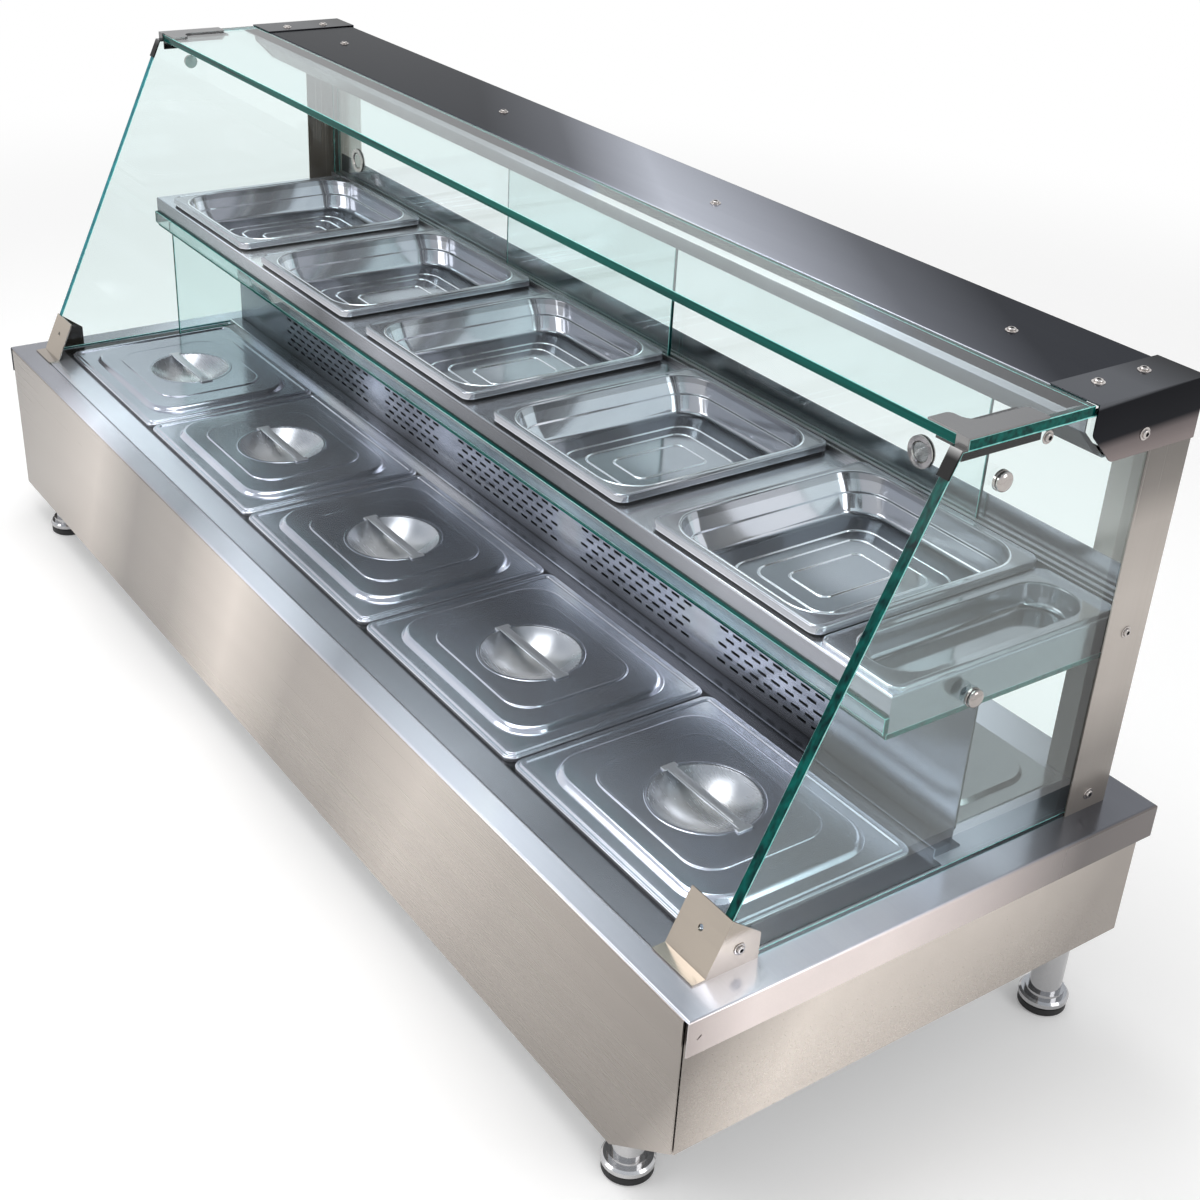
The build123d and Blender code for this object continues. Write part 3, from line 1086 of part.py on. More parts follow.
def thermostat_dial():
    """Ribbed dial with its spindle in the thermostat's bush."""
    face = Pos(THERMOSTAT_X, REAR_PANEL_OUT + DIAL_GAP, CONTROL_Z) * Rot(-90, 0, 0)
    profile = [(0, 0), (DIAL_RADIUS, 0), (DIAL_RADIUS, DIAL_HEIGHT / 4),
               (DIAL_RADIUS - DIAL_TAPER, DIAL_HEIGHT), (0, DIAL_HEIGHT)]
    dial = turned(profile, face)
    pocket_depth = BUSH_LENGTH
    dial -= face * Cylinder(DIAL_POCKET, pocket_depth, align=LOW)
    for k in range(DIAL_GRIP_COUNT):
        spoke = Rot(0, 0, 360 / DIAL_GRIP_COUNT * k) * Pos(DIAL_RADIUS, 0, DIAL_HEIGHT / 4)
        dial -= face * spoke * Cylinder(DIAL_GRIP, DIAL_HEIGHT, align=LOW)
    spindle_end = DIAL_GAP + SHEET + SPINDLE_DEPTH - SPINDLE_END_GAP
    spindle = Pos(0, 0, -spindle_end) * Cylinder(SPINDLE_RADIUS, spindle_end + pocket_depth, align=LOW)
    return dial + face * spindle


def switch_body():
    """Switch housing with a bezel outside the panel and a round seat for the rocker."""
    y0 = REAR_PANEL_OUT - SWITCH_BODY_DEPTH
    y1 = REAR_PANEL_OUT + SWITCH_BEZEL
    body = span(SWITCH_X - SWITCH_BODY_X / 2, SWITCH_X + SWITCH_BODY_X / 2, y0, y1,
                CONTROL_Z - SWITCH_BODY_Z / 2, CONTROL_Z + SWITCH_BODY_Z / 2)
    body += span(SWITCH_X - SWITCH_BEZEL_X / 2, SWITCH_X + SWITCH_BEZEL_X / 2, REAR_PANEL_OUT, y1,
                 CONTROL_Z - SWITCH_BEZEL_Z / 2, CONTROL_Z + SWITCH_BEZEL_Z / 2)
    axis = Pos(SWITCH_X, ROCKER_AXIS_Y, CONTROL_Z) * Rot(0, 90, 0)
    width = ROCKER_WIDTH + 2 * ROCKER_SIDE_GAP
    body -= axis * Cylinder(ROCKER_RADIUS + ROCKER_GAP, width)
    pin_room = width + 2 * ROCKER_PIN_LENGTH
    return body - axis * Cylinder(ROCKER_PIN + PIVOT_FIT, pin_room)


def switch_rocker():
    """Rocker with two shallow faces on side pins, tilted to its off side."""
    axis = Pos(SWITCH_X, ROCKER_AXIS_Y, CONTROL_Z)
    drum = Rot(0, 90, 0) * Cylinder(ROCKER_RADIUS, ROCKER_WIDTH)
    valley = ROCKER_RADIUS - ROCKER_PROUD / 2
    rise = 2 * ROCKER_RADIUS * math.tan(math.radians(ROCKER_ANGLE))
    far = 2 * ROCKER_RADIUS
    facets = outline((valley, 0), (valley + rise, far), (2 * far, far), (2 * far, -far), (valley + rise, -far))
    drum -= side_profile(-ROCKER_WIDTH, ROCKER_WIDTH, facets)
    reach = ROCKER_WIDTH + 2 * (ROCKER_SIDE_GAP + ROCKER_PIN_LENGTH - ROCKER_PIN_GAP)
    pins = Rot(0, 90, 0) * Cylinder(ROCKER_PIN, reach)
    return axis * Rot(-ROCKER_TILT, 0, 0) * (drum + pins)


def pilot_lens():
    """Domed pilot lamp in the rear panel."""
    profile = [(0, -3 * SHEET), (LENS_RADIUS, -3 * SHEET), (LENS_RADIUS, 0), (LENS_FLANGE, 0),
               (LENS_FLANGE, SHEET), (LENS_RADIUS, SHEET), (LENS_CROWN, LENS_SHOULDER),
               (0, LENS_HEIGHT)]
    return turned(profile, Pos(LENS_X, REAR_PANEL_OUT, CONTROL_Z) * Rot(-90, 0, 0))


def cable_gland():
    """Cable gland in the rear panel: hexagon, domed nut, lock nut and bore."""
    place = Pos(GLAND_X, REAR_PANEL_OUT, CONTROL_Z) * Rot(-90, 0, 0)
    hexagon = extrude(RegularPolygon(GLAND_HEX, 6), GLAND_HEX_HEIGHT)
    top = GLAND_HEX_HEIGHT + GLAND_DOME_HEIGHT
    dome = [(0, 0), (GLAND_DOME, 0), (GLAND_DOME, top - GLAND_SHOULDER), (GLAND_CROWN, top), (0, top)]
    body = hexagon + turned(dome, Pos(0, 0, 0))
    body += Pos(0, 0, -3 * GLAND_HEX_HEIGHT) * Cylinder(GLAND_RADIUS, 3 * GLAND_HEX_HEIGHT, align=LOW)
    nut = Pos(0, 0, -SHEET - GLAND_HEX_HEIGHT) * extrude(RegularPolygon(GLAND_HEX, 6), GLAND_HEX_HEIGHT)
    body += nut
    return place * (body - Cylinder(GLAND_BORE, 4 * top))


def nodes():
    """Every piece of the warmer by node name."""
    pieces = {
        "deck_top": deck_top(), "front_apron": front_apron(),
        "end_panel_left": end_panel(-1, APRON_HEIGHT), "end_panel_right": end_panel(1, RIGHT_PANEL_HEIGHT),
        "rear_panel": rear_panel(), "base_pan": base_pan(), "legs": legs(), "foot_pads": foot_pads(),
        "well_top": well_top(), "well_tank": well_tank(), "immersion_heater": immersion_heater(),
        "drain_valve": drain_valve(), "drain_lever": drain_lever(), "ledge_rail": ledge_rail(),
        "vent_riser": vent_riser(), "rear_deck_covers": rear_deck_covers(),
        "end_glass_left": end_glass(-1), "end_glass_right": end_glass(1), "top_glass": top_glass(),
        "lower_brackets": lower_brackets(), "upper_brackets": upper_brackets(),
        "canopy_top": canopy_top(), "canopy_end_caps": canopy_end_caps(), "rear_posts": rear_posts(),
        "lamp_batten": lamp_batten(), "lamp_tube": lamp_tube(),
        "upper_shelf": upper_shelf(), "shelf_glass": shelf_glass(), "shelf_heater": shelf_heater(),
        "shelf_side_pane": shelf_side_pane(), "narrow_tray": narrow_tray(),
        "door_track_lower": door_track_lower(), "door_track_upper": door_track_upper(),
        "glass_knobs": glass_knobs(), "case_screws": case_screws(),
        "thermostat_body": thermostat_body(), "thermostat_dial": thermostat_dial(),
        "switch_body": switch_body(), "switch_rocker": switch_rocker(),
        "pilot_lens": pilot_lens(), "cable_gland": cable_gland(),
    }
    doors = {"left": (DOOR_LEFT_X, DOOR_FRONT_Y, DOOR_LEFT_X + PULL_INSET_X),
             "right": (DOOR_RIGHT_X, DOOR_REAR_Y, DOOR_RIGHT_X + DOOR_LENGTH - PULL_INSET_X)}
    for side, (x0, y, pull_x) in doors.items():
        pieces[f"door_{side}"] = door_pane(x0, y, pull_x)
        pieces[f"door_pull_{side}"] = door_pull(pull_x, y)
    for k, x in enumerate(PAN_XS, 1):
        pieces[f"front_pan_{k}"] = front_pan(x)
        pieces[f"front_lid_{k}"] = front_lid(x)
    for k, x in enumerate(TRAY_XS, 1):
        pieces[f"shelf_pan_{k}"] = shelf_tray(x)
    return pieces


def main():
    """Write one STEP file per node."""
    os.makedirs("parts", exist_ok=True)
    for name, shape in nodes().items():
        export_step(shape, f"parts/{name}.step")


if __name__ == "__main__":
    main()
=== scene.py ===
"""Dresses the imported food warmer: pressed pans and lids, glass case, brushed cabinet, studio."""

import json
import logging
import math
from dataclasses import dataclass
from enum import Enum, IntEnum
from typing import Any, Dict, List, Mapping, Optional, Sequence, Tuple, Union

import bmesh
import bpy
from mathutils import Matrix, Vector


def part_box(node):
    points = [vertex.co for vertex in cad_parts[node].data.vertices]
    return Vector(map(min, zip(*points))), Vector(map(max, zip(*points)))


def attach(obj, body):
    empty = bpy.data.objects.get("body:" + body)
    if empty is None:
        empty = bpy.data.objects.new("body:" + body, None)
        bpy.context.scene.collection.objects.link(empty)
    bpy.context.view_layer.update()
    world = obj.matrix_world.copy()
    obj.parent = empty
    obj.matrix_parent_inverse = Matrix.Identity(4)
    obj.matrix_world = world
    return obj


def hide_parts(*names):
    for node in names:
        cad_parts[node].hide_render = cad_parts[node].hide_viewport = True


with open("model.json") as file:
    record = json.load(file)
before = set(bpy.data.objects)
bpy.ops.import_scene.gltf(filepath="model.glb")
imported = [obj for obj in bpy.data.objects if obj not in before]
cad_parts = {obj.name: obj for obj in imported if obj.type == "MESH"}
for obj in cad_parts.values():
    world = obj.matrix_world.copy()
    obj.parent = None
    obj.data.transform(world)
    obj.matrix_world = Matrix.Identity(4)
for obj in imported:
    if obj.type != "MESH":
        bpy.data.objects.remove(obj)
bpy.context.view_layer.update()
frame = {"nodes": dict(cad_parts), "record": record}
MM = 0.001
LOG = logging.getLogger("food_warmer")

Colour = Tuple[float, float, float, float]
Triple = Tuple[float, float, float]
Pair = Tuple[float, float]

ACROSS: Triple = (1.0, 0.0, 0.0)
BACKWARDS: Triple = (0.0, 1.0, 0.0)
UPWARDS: Triple = (0.0, 0.0, 1.0)
WHITE: Colour = (1.0, 1.0, 1.0, 1.0)

# Curve of screen colours.
SCREEN_FULL = 255
SCREEN_KNEE = 0.04045
SCREEN_SLOPE = 12.92
SCREEN_LIFT = 0.055
SCREEN_POWER = 2.4


def tone(red: float, green: float, blue: float) -> Colour:
    """Turns a screen colour of 0 to 255 into the linear colour that shaders take.

    Args:
        red: Red of the screen colour.
        green: Green of the screen colour.
        blue: Blue of the screen colour.

    Returns:
        The linear colour with full alpha.
    """
    linear = []
    for part in (red, green, blue):
        share = part / SCREEN_FULL
        curved = ((share + SCREEN_LIFT) / (1 + SCREEN_LIFT)) ** SCREEN_POWER
        linear.append(share / SCREEN_SLOPE if share <= SCREEN_KNEE else curved)
    return (linear[0], linear[1], linear[2], 1.0)


def grey(level: float) -> Colour:
    """Colour of equal red, green and blue."""
    return (level, level, level, 1.0)


class Shade:
    """Socket of a node tree; Python's operators on it write Math nodes."""

    def __init__(self, sheet: "NodeSheet", socket: Optional[bpy.types.NodeSocket]) -> None:
        """Keeps the socket and the sheet it is drawn on; an end node has no socket."""
        self.sheet = sheet
        self.socket = socket

    def maths(self, operation: str, first: "Value", second: "Value") -> "Shade":
        """Adds one Math node.

        Args:
            operation: Name of the Math node's operation.
            first: First value or link.
            second: Second value or link.

        Returns:
            The node's result.
        """
        return self.sheet.node("ShaderNodeMath", {"operation": operation}, {0: first, 1: second})

    def __add__(self, other: "Value") -> "Shade":
        """Sum."""
        return self.maths("ADD", self, other)

    def __radd__(self, other: "Value") -> "Shade":
        """Sum with the value on the left."""
        return self.maths("ADD", other, self)

    def __sub__(self, other: "Value") -> "Shade":
        """Difference."""
        return self.maths("SUBTRACT", self, other)

    def __rsub__(self, other: "Value") -> "Shade":
        """Difference with the value on the left."""
        return self.maths("SUBTRACT", other, self)

    def __mul__(self, other: "Value") -> "Shade":
        """Product."""
        return self.maths("MULTIPLY", self, other)

    def __rmul__(self, other: "Value") -> "Shade":
        """Product with the value on the left."""
        return self.maths("MULTIPLY", other, self)

    def __or__(self, other: "Value") -> "Shade":
        """The greater of two masks."""
        return self.maths("MAXIMUM", self, other)

    def swing(self, weight: float) -> "Shade":
        """Noise about a half, turned into a weighted swing about 0."""
        return (self - 0.5) * weight


Value = Union[Shade, float, Sequence[float]]

# Sockets of a Mix node that mixes colours.
MIX_SHARE = 0
MIX_FIRST = 6
MIX_SECOND = 7
MIX_RESULT = 2


class NodeSheet:
    """Empty node tree of a material or a world."""

    def __init__(self, tree: bpy.types.NodeTree) -> None:
        """Clears the tree.

        Args:
            tree: Node tree to draw on.
        """
        self.tree = tree
        tree.nodes.clear()

    def node(self, kind: str, settings: Mapping[str, Any], inputs: Mapping[Union[int, str], Value],
             output: Union[int, str] = 0) -> Shade:
        """Adds a node.

        Args:
            kind: Type name of the node.
            settings: Properties of the node, set first; "stops" fills a colour ramp.
            inputs: Values or links by socket name or number.
            output: Socket that is handed back.

        Returns:
            The chosen output.
        """
        made = self.tree.nodes.new(kind)
        for key, value in settings.items():
            if key == "stops":
                self.fill(made.color_ramp, value)
            else:
                setattr(made, key, value)
        for key, value in inputs.items():
            socket = made.inputs[key]
            if isinstance(value, Shade):
                self.tree.links.new(value.socket, socket)
            else:
                socket.default_value = value
        return Shade(self, made.outputs[output] if made.outputs else None)

    def fill(self, ramp: bpy.types.ColorRamp, stops: Sequence[Tuple[float, Colour]]) -> None:
        """Sets a ramp's stops.

        Args:
            ramp: Ramp with its two first stops.
            stops: Position and colour of each stop, rising.
        """
        while len(ramp.elements) < len(stops):
            ramp.elements.new(1.0)
        for element, (position, colour) in zip(ramp.elements, stops):
            element.position = position
            element.color = colour

    def mixed(self, share: Value, first: Value, second: Value, blend: str = "MIX") -> Shade:
        """Colour between two colours.

        Args:
            share: Share of the second colour.
            first: First colour.
            second: Second colour.
            blend: How the second colour is laid on the first.

        Returns:
            The mixed colour.
        """
        settings = {"data_type": "RGBA", "blend_type": blend}
        inputs = {MIX_SHARE: share, MIX_FIRST: first, MIX_SECOND: second}
        return self.node("ShaderNodeMix", settings, inputs, MIX_RESULT)

    def place(self) -> Shade:
        """Object coordinates."""
        return self.node("ShaderNodeTexCoord", {}, {}, "Object")

    def eased(self, value: Shade, start: float, end: float) -> Shade:
        """Share of the way of a value from start to end, eased at both."""
        inputs = {"Value": value, "From Min": start, "From Max": end}
        return self.node("ShaderNodeMapRange", {"interpolation_type": "SMOOTHSTEP"}, inputs)

    def noise(self, scale: Triple, detail: float = 2.0, rough: float = 0.5) -> Shade:
        """Noise on Object coordinates.

        Args:
            scale: Lumps per metre along X, Y and Z.
            detail: Finer octaves.
            rough: Weight of the finer octaves.

        Returns:
            Noise of about 0.3 to 0.7.
        """
        scaled = self.node("ShaderNodeMapping", {}, {"Vector": self.place(), "Scale": scale})
        return self.node("ShaderNodeTexNoise", {},
                         {"Vector": scaled, "Scale": 1.0, "Detail": detail, "Roughness": rough})

    def relief(self, height: Shade, strength: float, distance: float) -> Shade:
        """Bumped normal from a height."""
        return self.node("ShaderNodeBump", {},
                         {"Height": height, "Strength": strength, "Distance": distance}, "Normal")

    def surface(self, inputs: Mapping[str, Value]) -> None:
        """Ends a material in one Principled shader.

        Args:
            inputs: Values or links of the shader.
        """
        shader = self.node("ShaderNodeBsdfPrincipled", {}, inputs)
        self.node("ShaderNodeOutputMaterial", {}, {"Surface": shader})


def blank(name: str) -> Tuple[bpy.types.Material, NodeSheet]:
    """New material with an empty sheet.

    Args:
        name: Name of the material.

    Returns:
        The material and its sheet.
    """
    material = bpy.data.materials.new(name)
    material.use_nodes = True
    return material, NodeSheet(material.node_tree)


class Grain(Enum):
    """Direction of a brushed finish, as lumps of the noise per metre along X, Y and Z."""

    ALONG_X = (2.0, 420.0, 420.0)
    ALONG_Z = (420.0, 420.0, 2.0)


@dataclass(frozen=True)
class LightBands:
    """Painted reflection and shade: broad light and dark bands laid across a sheet along one direction.

    A stop is a share of the run from start to end, in metres, and a factor of one number or of
    red, green and blue.
    """

    way: Triple
    start: float
    end: float
    stops: Tuple[Tuple[float, Union[float, Triple]], ...]

    def over(self, sheet: NodeSheet, colour: Shade) -> Shade:
        """Multiplies a colour by the painted light and shade bands.

        Args:
            sheet: Sheet that gets the nodes.
            colour: Colour under the bands.

        Returns:
            The colour with its painted light and shade.
        """
        along = sheet.node("ShaderNodeVectorMath", {"operation": "DOT_PRODUCT"},
                           {0: sheet.place(), 1: self.way}, "Value")
        share = (along - self.start) * (1 / (self.end - self.start))
        stops = [(position, self.level(factor)) for position, factor in self.stops]
        bands = sheet.node("ShaderNodeValToRGB", {"stops": stops}, {0: share}, "Color")
        return sheet.mixed(1.0, colour, bands, "MULTIPLY")

    def level(self, factor: Union[float, Triple]) -> Colour:
        """Ramp colour of a factor that is one number or three."""
        return (*factor, 1.0) if isinstance(factor, tuple) else grey(factor)


@dataclass(frozen=True)
class PaintedPanReflection:
    """Painted reflection: darker metal with a painted bright highlight patch, repeated from pan to pan, in
    metres.

    The patch lies off the middle of each pan. The painted reflection keeps to the floors: it ends upwards
    where the wall rises, and downwards below the floors.
    """

    dark: Colour
    rubbed: Colour
    first: float = -0.663
    pitch: float = 0.318
    middle: float = 0.087
    patch: Pair = (0.012, 0.040)
    reach: Pair = (0.075, 0.085)
    wall: Pair = (0.4912, 0.4880)
    below: Pair = (0.40, 0.45)
    fade: Pair = (1.15, 0.45)

    def over(self, sheet: NodeSheet, colour: Shade) -> Shade:
        """Mixes the painted reflection and its highlight patch into a colour.

        Args:
            sheet: Sheet that gets the nodes.
            colour: Colour of the bare steel.

        Returns:
            The colour with its painted reflection.
        """
        place = sheet.place()
        x, y, z = (sheet.node("ShaderNodeSeparateXYZ", {}, {0: place}, axis) for axis in "XYZ")
        turns = (x - (self.first - self.pitch / 2)) * (1 / self.pitch)
        along = turns.maths("FRACT", turns, 0.0).swing(self.pitch)
        across = (along - self.patch[0]) * (1 / self.reach[0])
        deep = (y - (self.middle + self.patch[1])) * (1 / self.reach[1])
        away = turns.maths("SQRT", across * across + deep * deep, 0.0)
        # Mask of the painted highlight patch, full near its middle.
        rubbed = sheet.eased(away, *self.fade)
        floor = sheet.eased(z, *self.wall)
        shelf = sheet.node("ShaderNodeMapRange", {},
                           {"Value": z, "From Min": self.below[0], "From Max": self.below[1]})
        return sheet.mixed(floor * shelf, colour, sheet.mixed(rubbed, self.dark, self.rubbed))


# A layer of painted reflection, highlight or shade.
Layer = Union[LightBands, PaintedPanReflection]


def layered(sheet: NodeSheet, colour: Shade, layers: Sequence[Layer]) -> Shade:
    """Lays painted light and shade over a colour.

    Args:
        sheet: Sheet that gets the nodes.
        colour: Colour of the bare steel.
        layers: Bands and patches of painted light and shade, the lowest first.

    Returns:
        The colour with all its layers.
    """
    for layer in layers:
        colour = layer.over(sheet, colour)
    return colour


class Finish:
    """Surface that draws itself on a new material."""

    def material(self, name: str) -> bpy.types.Material:
        """Builds the finish.

        Args:
            name: Name of the material.

        Returns:
            The material.
        """
        material, sheet = blank(name)
        self.draw(sheet)
        return material

    def draw(self, sheet: NodeSheet) -> None:
        """Draws the shader; each finish has its own."""
        raise NotImplementedError


@dataclass(frozen=True)
class BrushedSteel(Finish):
    """Sheet steel with long brush lines and soft broad bands."""

    light: Colour
    dark: Colour
    grain: Grain
    roughness: float = 0.30
    spread: float = 0.14
    depth: float = 0.04
    metal: float = 0.9
    layers: Tuple[Layer, ...] = ()
    grazing: float = 1.0
    band_width: float = 0.09
    cloud: Triple = (1.6, 1.6, 3.2)
    cloud_gloss: float = 0.10
    weights: Triple = (0.45, 0.5, 1.3)
    line_height: float = 0.0004

    def draw(self, sheet: NodeSheet) -> None:
        """Draws brush lines, bands and clouds under the layers of painted light and shade.

        Args:
            sheet: Empty sheet of the material.
        """
        lines = sheet.noise(self.grain.value, detail=3.0, rough=0.6)
        bands = sheet.noise(tuple(part * self.band_width for part in self.grain.value))
        cloud = sheet.noise(self.cloud, detail=1.0)
        line_weight, band_weight, cloud_weight = self.weights
        share = lines.swing(line_weight) + bands.swing(band_weight) + cloud.swing(cloud_weight) + 0.5
        colour = layered(sheet, sheet.mixed(share, self.dark, self.light), self.layers)
        gloss = lines.swing(self.spread) + cloud.swing(self.cloud_gloss) + self.roughness
        sheet.surface({"Base Color": colour, "Metallic": self.metal, "Specular Tint": grey(self.grazing),
                       "Roughness": gloss, "Normal": sheet.relief(lines, self.depth, self.line_height)})


@dataclass(frozen=True)
class PressedSteel(Finish):
    """Bright drawn steel: slight waves of the press and faint rubbing marks."""

    light: Colour
    dark: Colour
    roughness: float = 0.16
    wave: float = 0.05
    metal: float = 0.9
    layers: Tuple[Layer, ...] = ()
    grazing: float = 1.0
    swell: Triple = (9.0, 9.0, 9.0)
    rub: Triple = (25.0, 500.0, 200.0)
    wave_weight: float = 1.4
    mark_weight: float = 0.3
    wave_gloss: float = 0.06
    mark_gloss: float = 0.04
    wave_height: float = 0.004

    def draw(self, sheet: NodeSheet) -> None:
        """Draws waves and rubbing marks under the layers of painted light and shade.

        Args:
            sheet: Empty sheet of the material.
        """
        waves = sheet.noise(self.swell, detail=0.0)
        marks = sheet.noise(self.rub)
        share = waves.swing(self.wave_weight) + marks.swing(self.mark_weight) + 0.5
        colour = layered(sheet, sheet.mixed(share, self.dark, self.light), self.layers)
        gloss = marks.swing(self.mark_gloss) + waves.swing(self.wave_gloss) + self.roughness
        sheet.surface({"Base Color": colour, "Metallic": self.metal, "Specular Tint": grey(self.grazing),
                       "Roughness": gloss, "Normal": sheet.relief(waves, self.wave, self.wave_height)})


@dataclass(frozen=True)
class ClearGlass(Finish):
    """Polished pane with a faint green cast."""

    tint: Colour
    cast: Colour
    cloud: Triple = (1.2, 1.2, 1.2)
    contrast: float = 1.5
    index: float = 1.45

    def draw(self, sheet: NodeSheet) -> None:
        """Draws clear glass whose tint drifts slightly.

        Args:
            sheet: Empty sheet of the material.
        """
        share = sheet.noise(self.cloud, detail=1.0).swing(self.contrast) + 0.5
        sheet.surface({"Base Color": sheet.mixed(share, self.tint, self.cast), "Roughness": 0.0,
                       "IOR": self.index, "Transmission Weight": 1.0})


@dataclass(frozen=True)
class GlassEdge(Finish):
    """Ground edge of a pane, deep green with lighter runs along it."""

    deep: Colour
    lit: Colour
    grain: Grain
    roughness: float = 0.12
    fineness: float = 0.4
    fewest: float = 3.0
    contrast: float = 2.4
    bias: float = 0.45
    gloss: float = 0.2
    shine: float = 0.1

    def draw(self, sheet: NodeSheet) -> None:
        """Draws the runs along the edge.

        Args:
            sheet: Empty sheet of the material.
        """
        runs = sheet.noise(tuple(max(part * self.fineness, self.fewest) for part in self.grain.value))
        share = runs.swing(self.contrast) + self.bias
        sheet.surface({"Base Color": sheet.mixed(share, self.deep, self.lit),
                       "Roughness": runs.swing(self.gloss) + self.roughness,
                       "Specular IOR Level": self.shine})


@dataclass(frozen=True)
class Moulded(Finish):
    """Paint, plastic or rubber with a fine grain."""

    light: Colour
    dark: Colour
    roughness: float
    lumps: float = 900.0
    depth: float = 0.15
    wear: float = 40.0
    grain_weight: float = 0.8
    wear_weight: float = 1.2
    gloss: float = 0.2
    grain_height: float = 0.0003

    def draw(self, sheet: NodeSheet) -> None:
        """Draws the grain and the wear.

        Args:
            sheet: Empty sheet of the material.
        """
        grain = sheet.noise((self.lumps,) * 3)
        worn = sheet.noise((self.wear,) * 3)
        share = grain.swing(self.grain_weight) + worn.swing(self.wear_weight) + 0.5
        sheet.surface({"Base Color": sheet.mixed(share, self.dark, self.light),
                       "Roughness": worn.swing(self.gloss) + self.roughness,
                       "Normal": sheet.relief(grain, self.depth, self.grain_height)})


# Painted reflection: light and dark bands slanting across the front apron.
APRON_REFLECTION_BANDS = LightBands((1.0, 1.0, -0.5), -1.35, 1.15,
                    ((0.02, 0.46), (0.10, 0.70), (0.16, 0.96), (0.22, 0.41), (0.28, 0.56), (0.35, 1.18),
                     (0.42, 0.54), (0.48, 0.60), (0.54, 0.94), (0.61, 0.66), (0.70, 0.50), (0.73, 0.46),
                     (0.79, 1.46), (0.88, 1.10), (0.96, 0.58)))
# Painted reflection bands running diagonally across the deck.
DECK_REFLECTION_BANDS = LightBands((1.0, 1.0, 0.0), -1.25, 1.25,
                   ((0.04, 0.30), (0.10, 0.42), (0.16, 1.10), (0.22, 0.52), (0.29, 0.42), (0.36, 1.05),
                    (0.41, 1.00), (0.47, 0.55), (0.54, 0.95), (0.60, 1.15), (0.66, 0.80), (0.73, 0.50),
                    (0.765, 1.15), (0.83, 1.15), (0.88, 0.75), (0.94, 0.18), (0.98, 0.20)))
# Painted reflection bands along the well top.
WELL_REFLECTION_BANDS = LightBands(ACROSS, -0.86, 0.86,
                   ((0.0, 0.20), (0.08, 0.80), (0.17, 1.10), (0.28, 0.90), (0.44, 0.85), (0.54, 0.42),
                    (0.62, 0.42), (0.76, 0.66), (0.86, 0.32), (1.0, 0.36)))
# Painted shade on the well top: near black from just behind the front strip to the rear strip, so the gaps
# between the pans and lids read black; the rear strip a little over half its tone.
WELL_SHADE = LightBands(BACKWARDS, -0.28, 0.04,
                   ((0.0, 1.0), (0.115, 1.0), (0.122, 0.06), (0.966, 0.06), (0.976, 0.60)))
# Painted reflection bands along the ledge rail.
LEDGE_REFLECTION_BANDS = LightBands(ACROSS, -0.85, 0.85,
                    ((0.0, 0.45), (0.13, 0.20), (0.24, 0.38), (0.34, 0.29), (0.45, 0.40), (0.55, 0.19),
                     (0.66, 0.25), (0.76, 0.13), (0.87, 0.06), (0.97, 0.16)))
# Painted highlight along the ledge rail's front edge and painted shade over its back part.
LEDGE_EDGE_LIGHT_AND_SHADE = LightBands(BACKWARDS, 0.038, 0.062,
                    ((0.0, 3.6), (0.10, 3.6), (0.15, 1.0), (0.86, 1.0), (0.94, 0.2)))
# Painted warm reflection on the deck's right end.
FLANGE_WARM_REFLECTION = LightBands(ACROSS, 0.8975, 0.8995, ((0.0, 1.0), (1.0, (1.0, 0.87, 0.76))))
# Painted reflection bands along the riser, lighter over the plain gaps between slot groups.
RISER_REFLECTION_BANDS = LightBands(ACROSS, -0.85, 0.85,
                    ((0.0, 0.40), (0.13, 0.24), (0.24, 0.34), (0.29, 1.00), (0.35, 0.52), (0.41, 0.95),
                     (0.47, 0.66), (0.55, 0.80), (0.59, 1.35), (0.65, 0.72), (0.755, 1.30), (0.84, 0.70),
                     (0.91, 0.34)))
# Painted shade on the riser: darker at its foot and darkest towards its top, under the shelf.
RISER_SHADE = LightBands(UPWARDS, 0.28, 0.48,
                    ((0.10, 0.45), (0.13, 0.60), (0.22, 1.0), (0.37, 1.0), (0.48, 0.46), (0.70, 0.30),
                     (0.95, 0.24)))
# Painted reflection bands along the shelf.
SHELF_REFLECTION_BANDS = LightBands(ACROSS, -0.85, 0.85,
                    ((0.0, 0.55), (0.14, 0.85), (0.26, 0.95), (0.34, 0.34), (0.44, 0.80), (0.55, 0.46),
                     (0.65, 0.30), (0.76, 0.50), (0.86, 0.85), (1.0, 0.70)))
# Painted light and shade on the shelf: its top lighter, its front skirt and rear upstand darker.
SHELF_LIGHT_AND_SHADE = LightBands(UPWARDS, 0.49, 0.56,
                    ((0.0, 0.72), (0.365, 0.72), (0.385, 1.80), (0.40, 1.80), (0.46, 0.72)))
# Painted reflection on the narrow tray: lighter at the front, darker towards the back.
TRAY_REFLECTION_BANDS = LightBands(BACKWARDS, -0.07, 0.24, ((0.0, 1.10), (0.30, 0.90), (0.60, 0.56), (1.0, 0.50)))
# Painted reflection bands from lid to lid along the well.
LID_REFLECTION_BANDS = LightBands(ACROSS, -0.82, 0.82,
                  ((0.1, 0.85), (0.30, 1.30), (0.50, 0.85), (0.70, 1.15), (0.90, 1.30)))
# Painted reflection on the shelf pans' floors: dark metal with a painted highlight patch in each.
PAN_FLOOR_REFLECTION = PaintedPanReflection(tone(128, 132, 139), tone(170, 173, 181))
# Painted dark reflection on the shelf pans' rims and the tops of their skirts and walls.
PAN_RIM_DARK_REFLECTION = LightBands(UPWARDS, 0.515, 0.532, ((0.40, 1.0), (0.45, 0.66), (1.0, 0.62)))
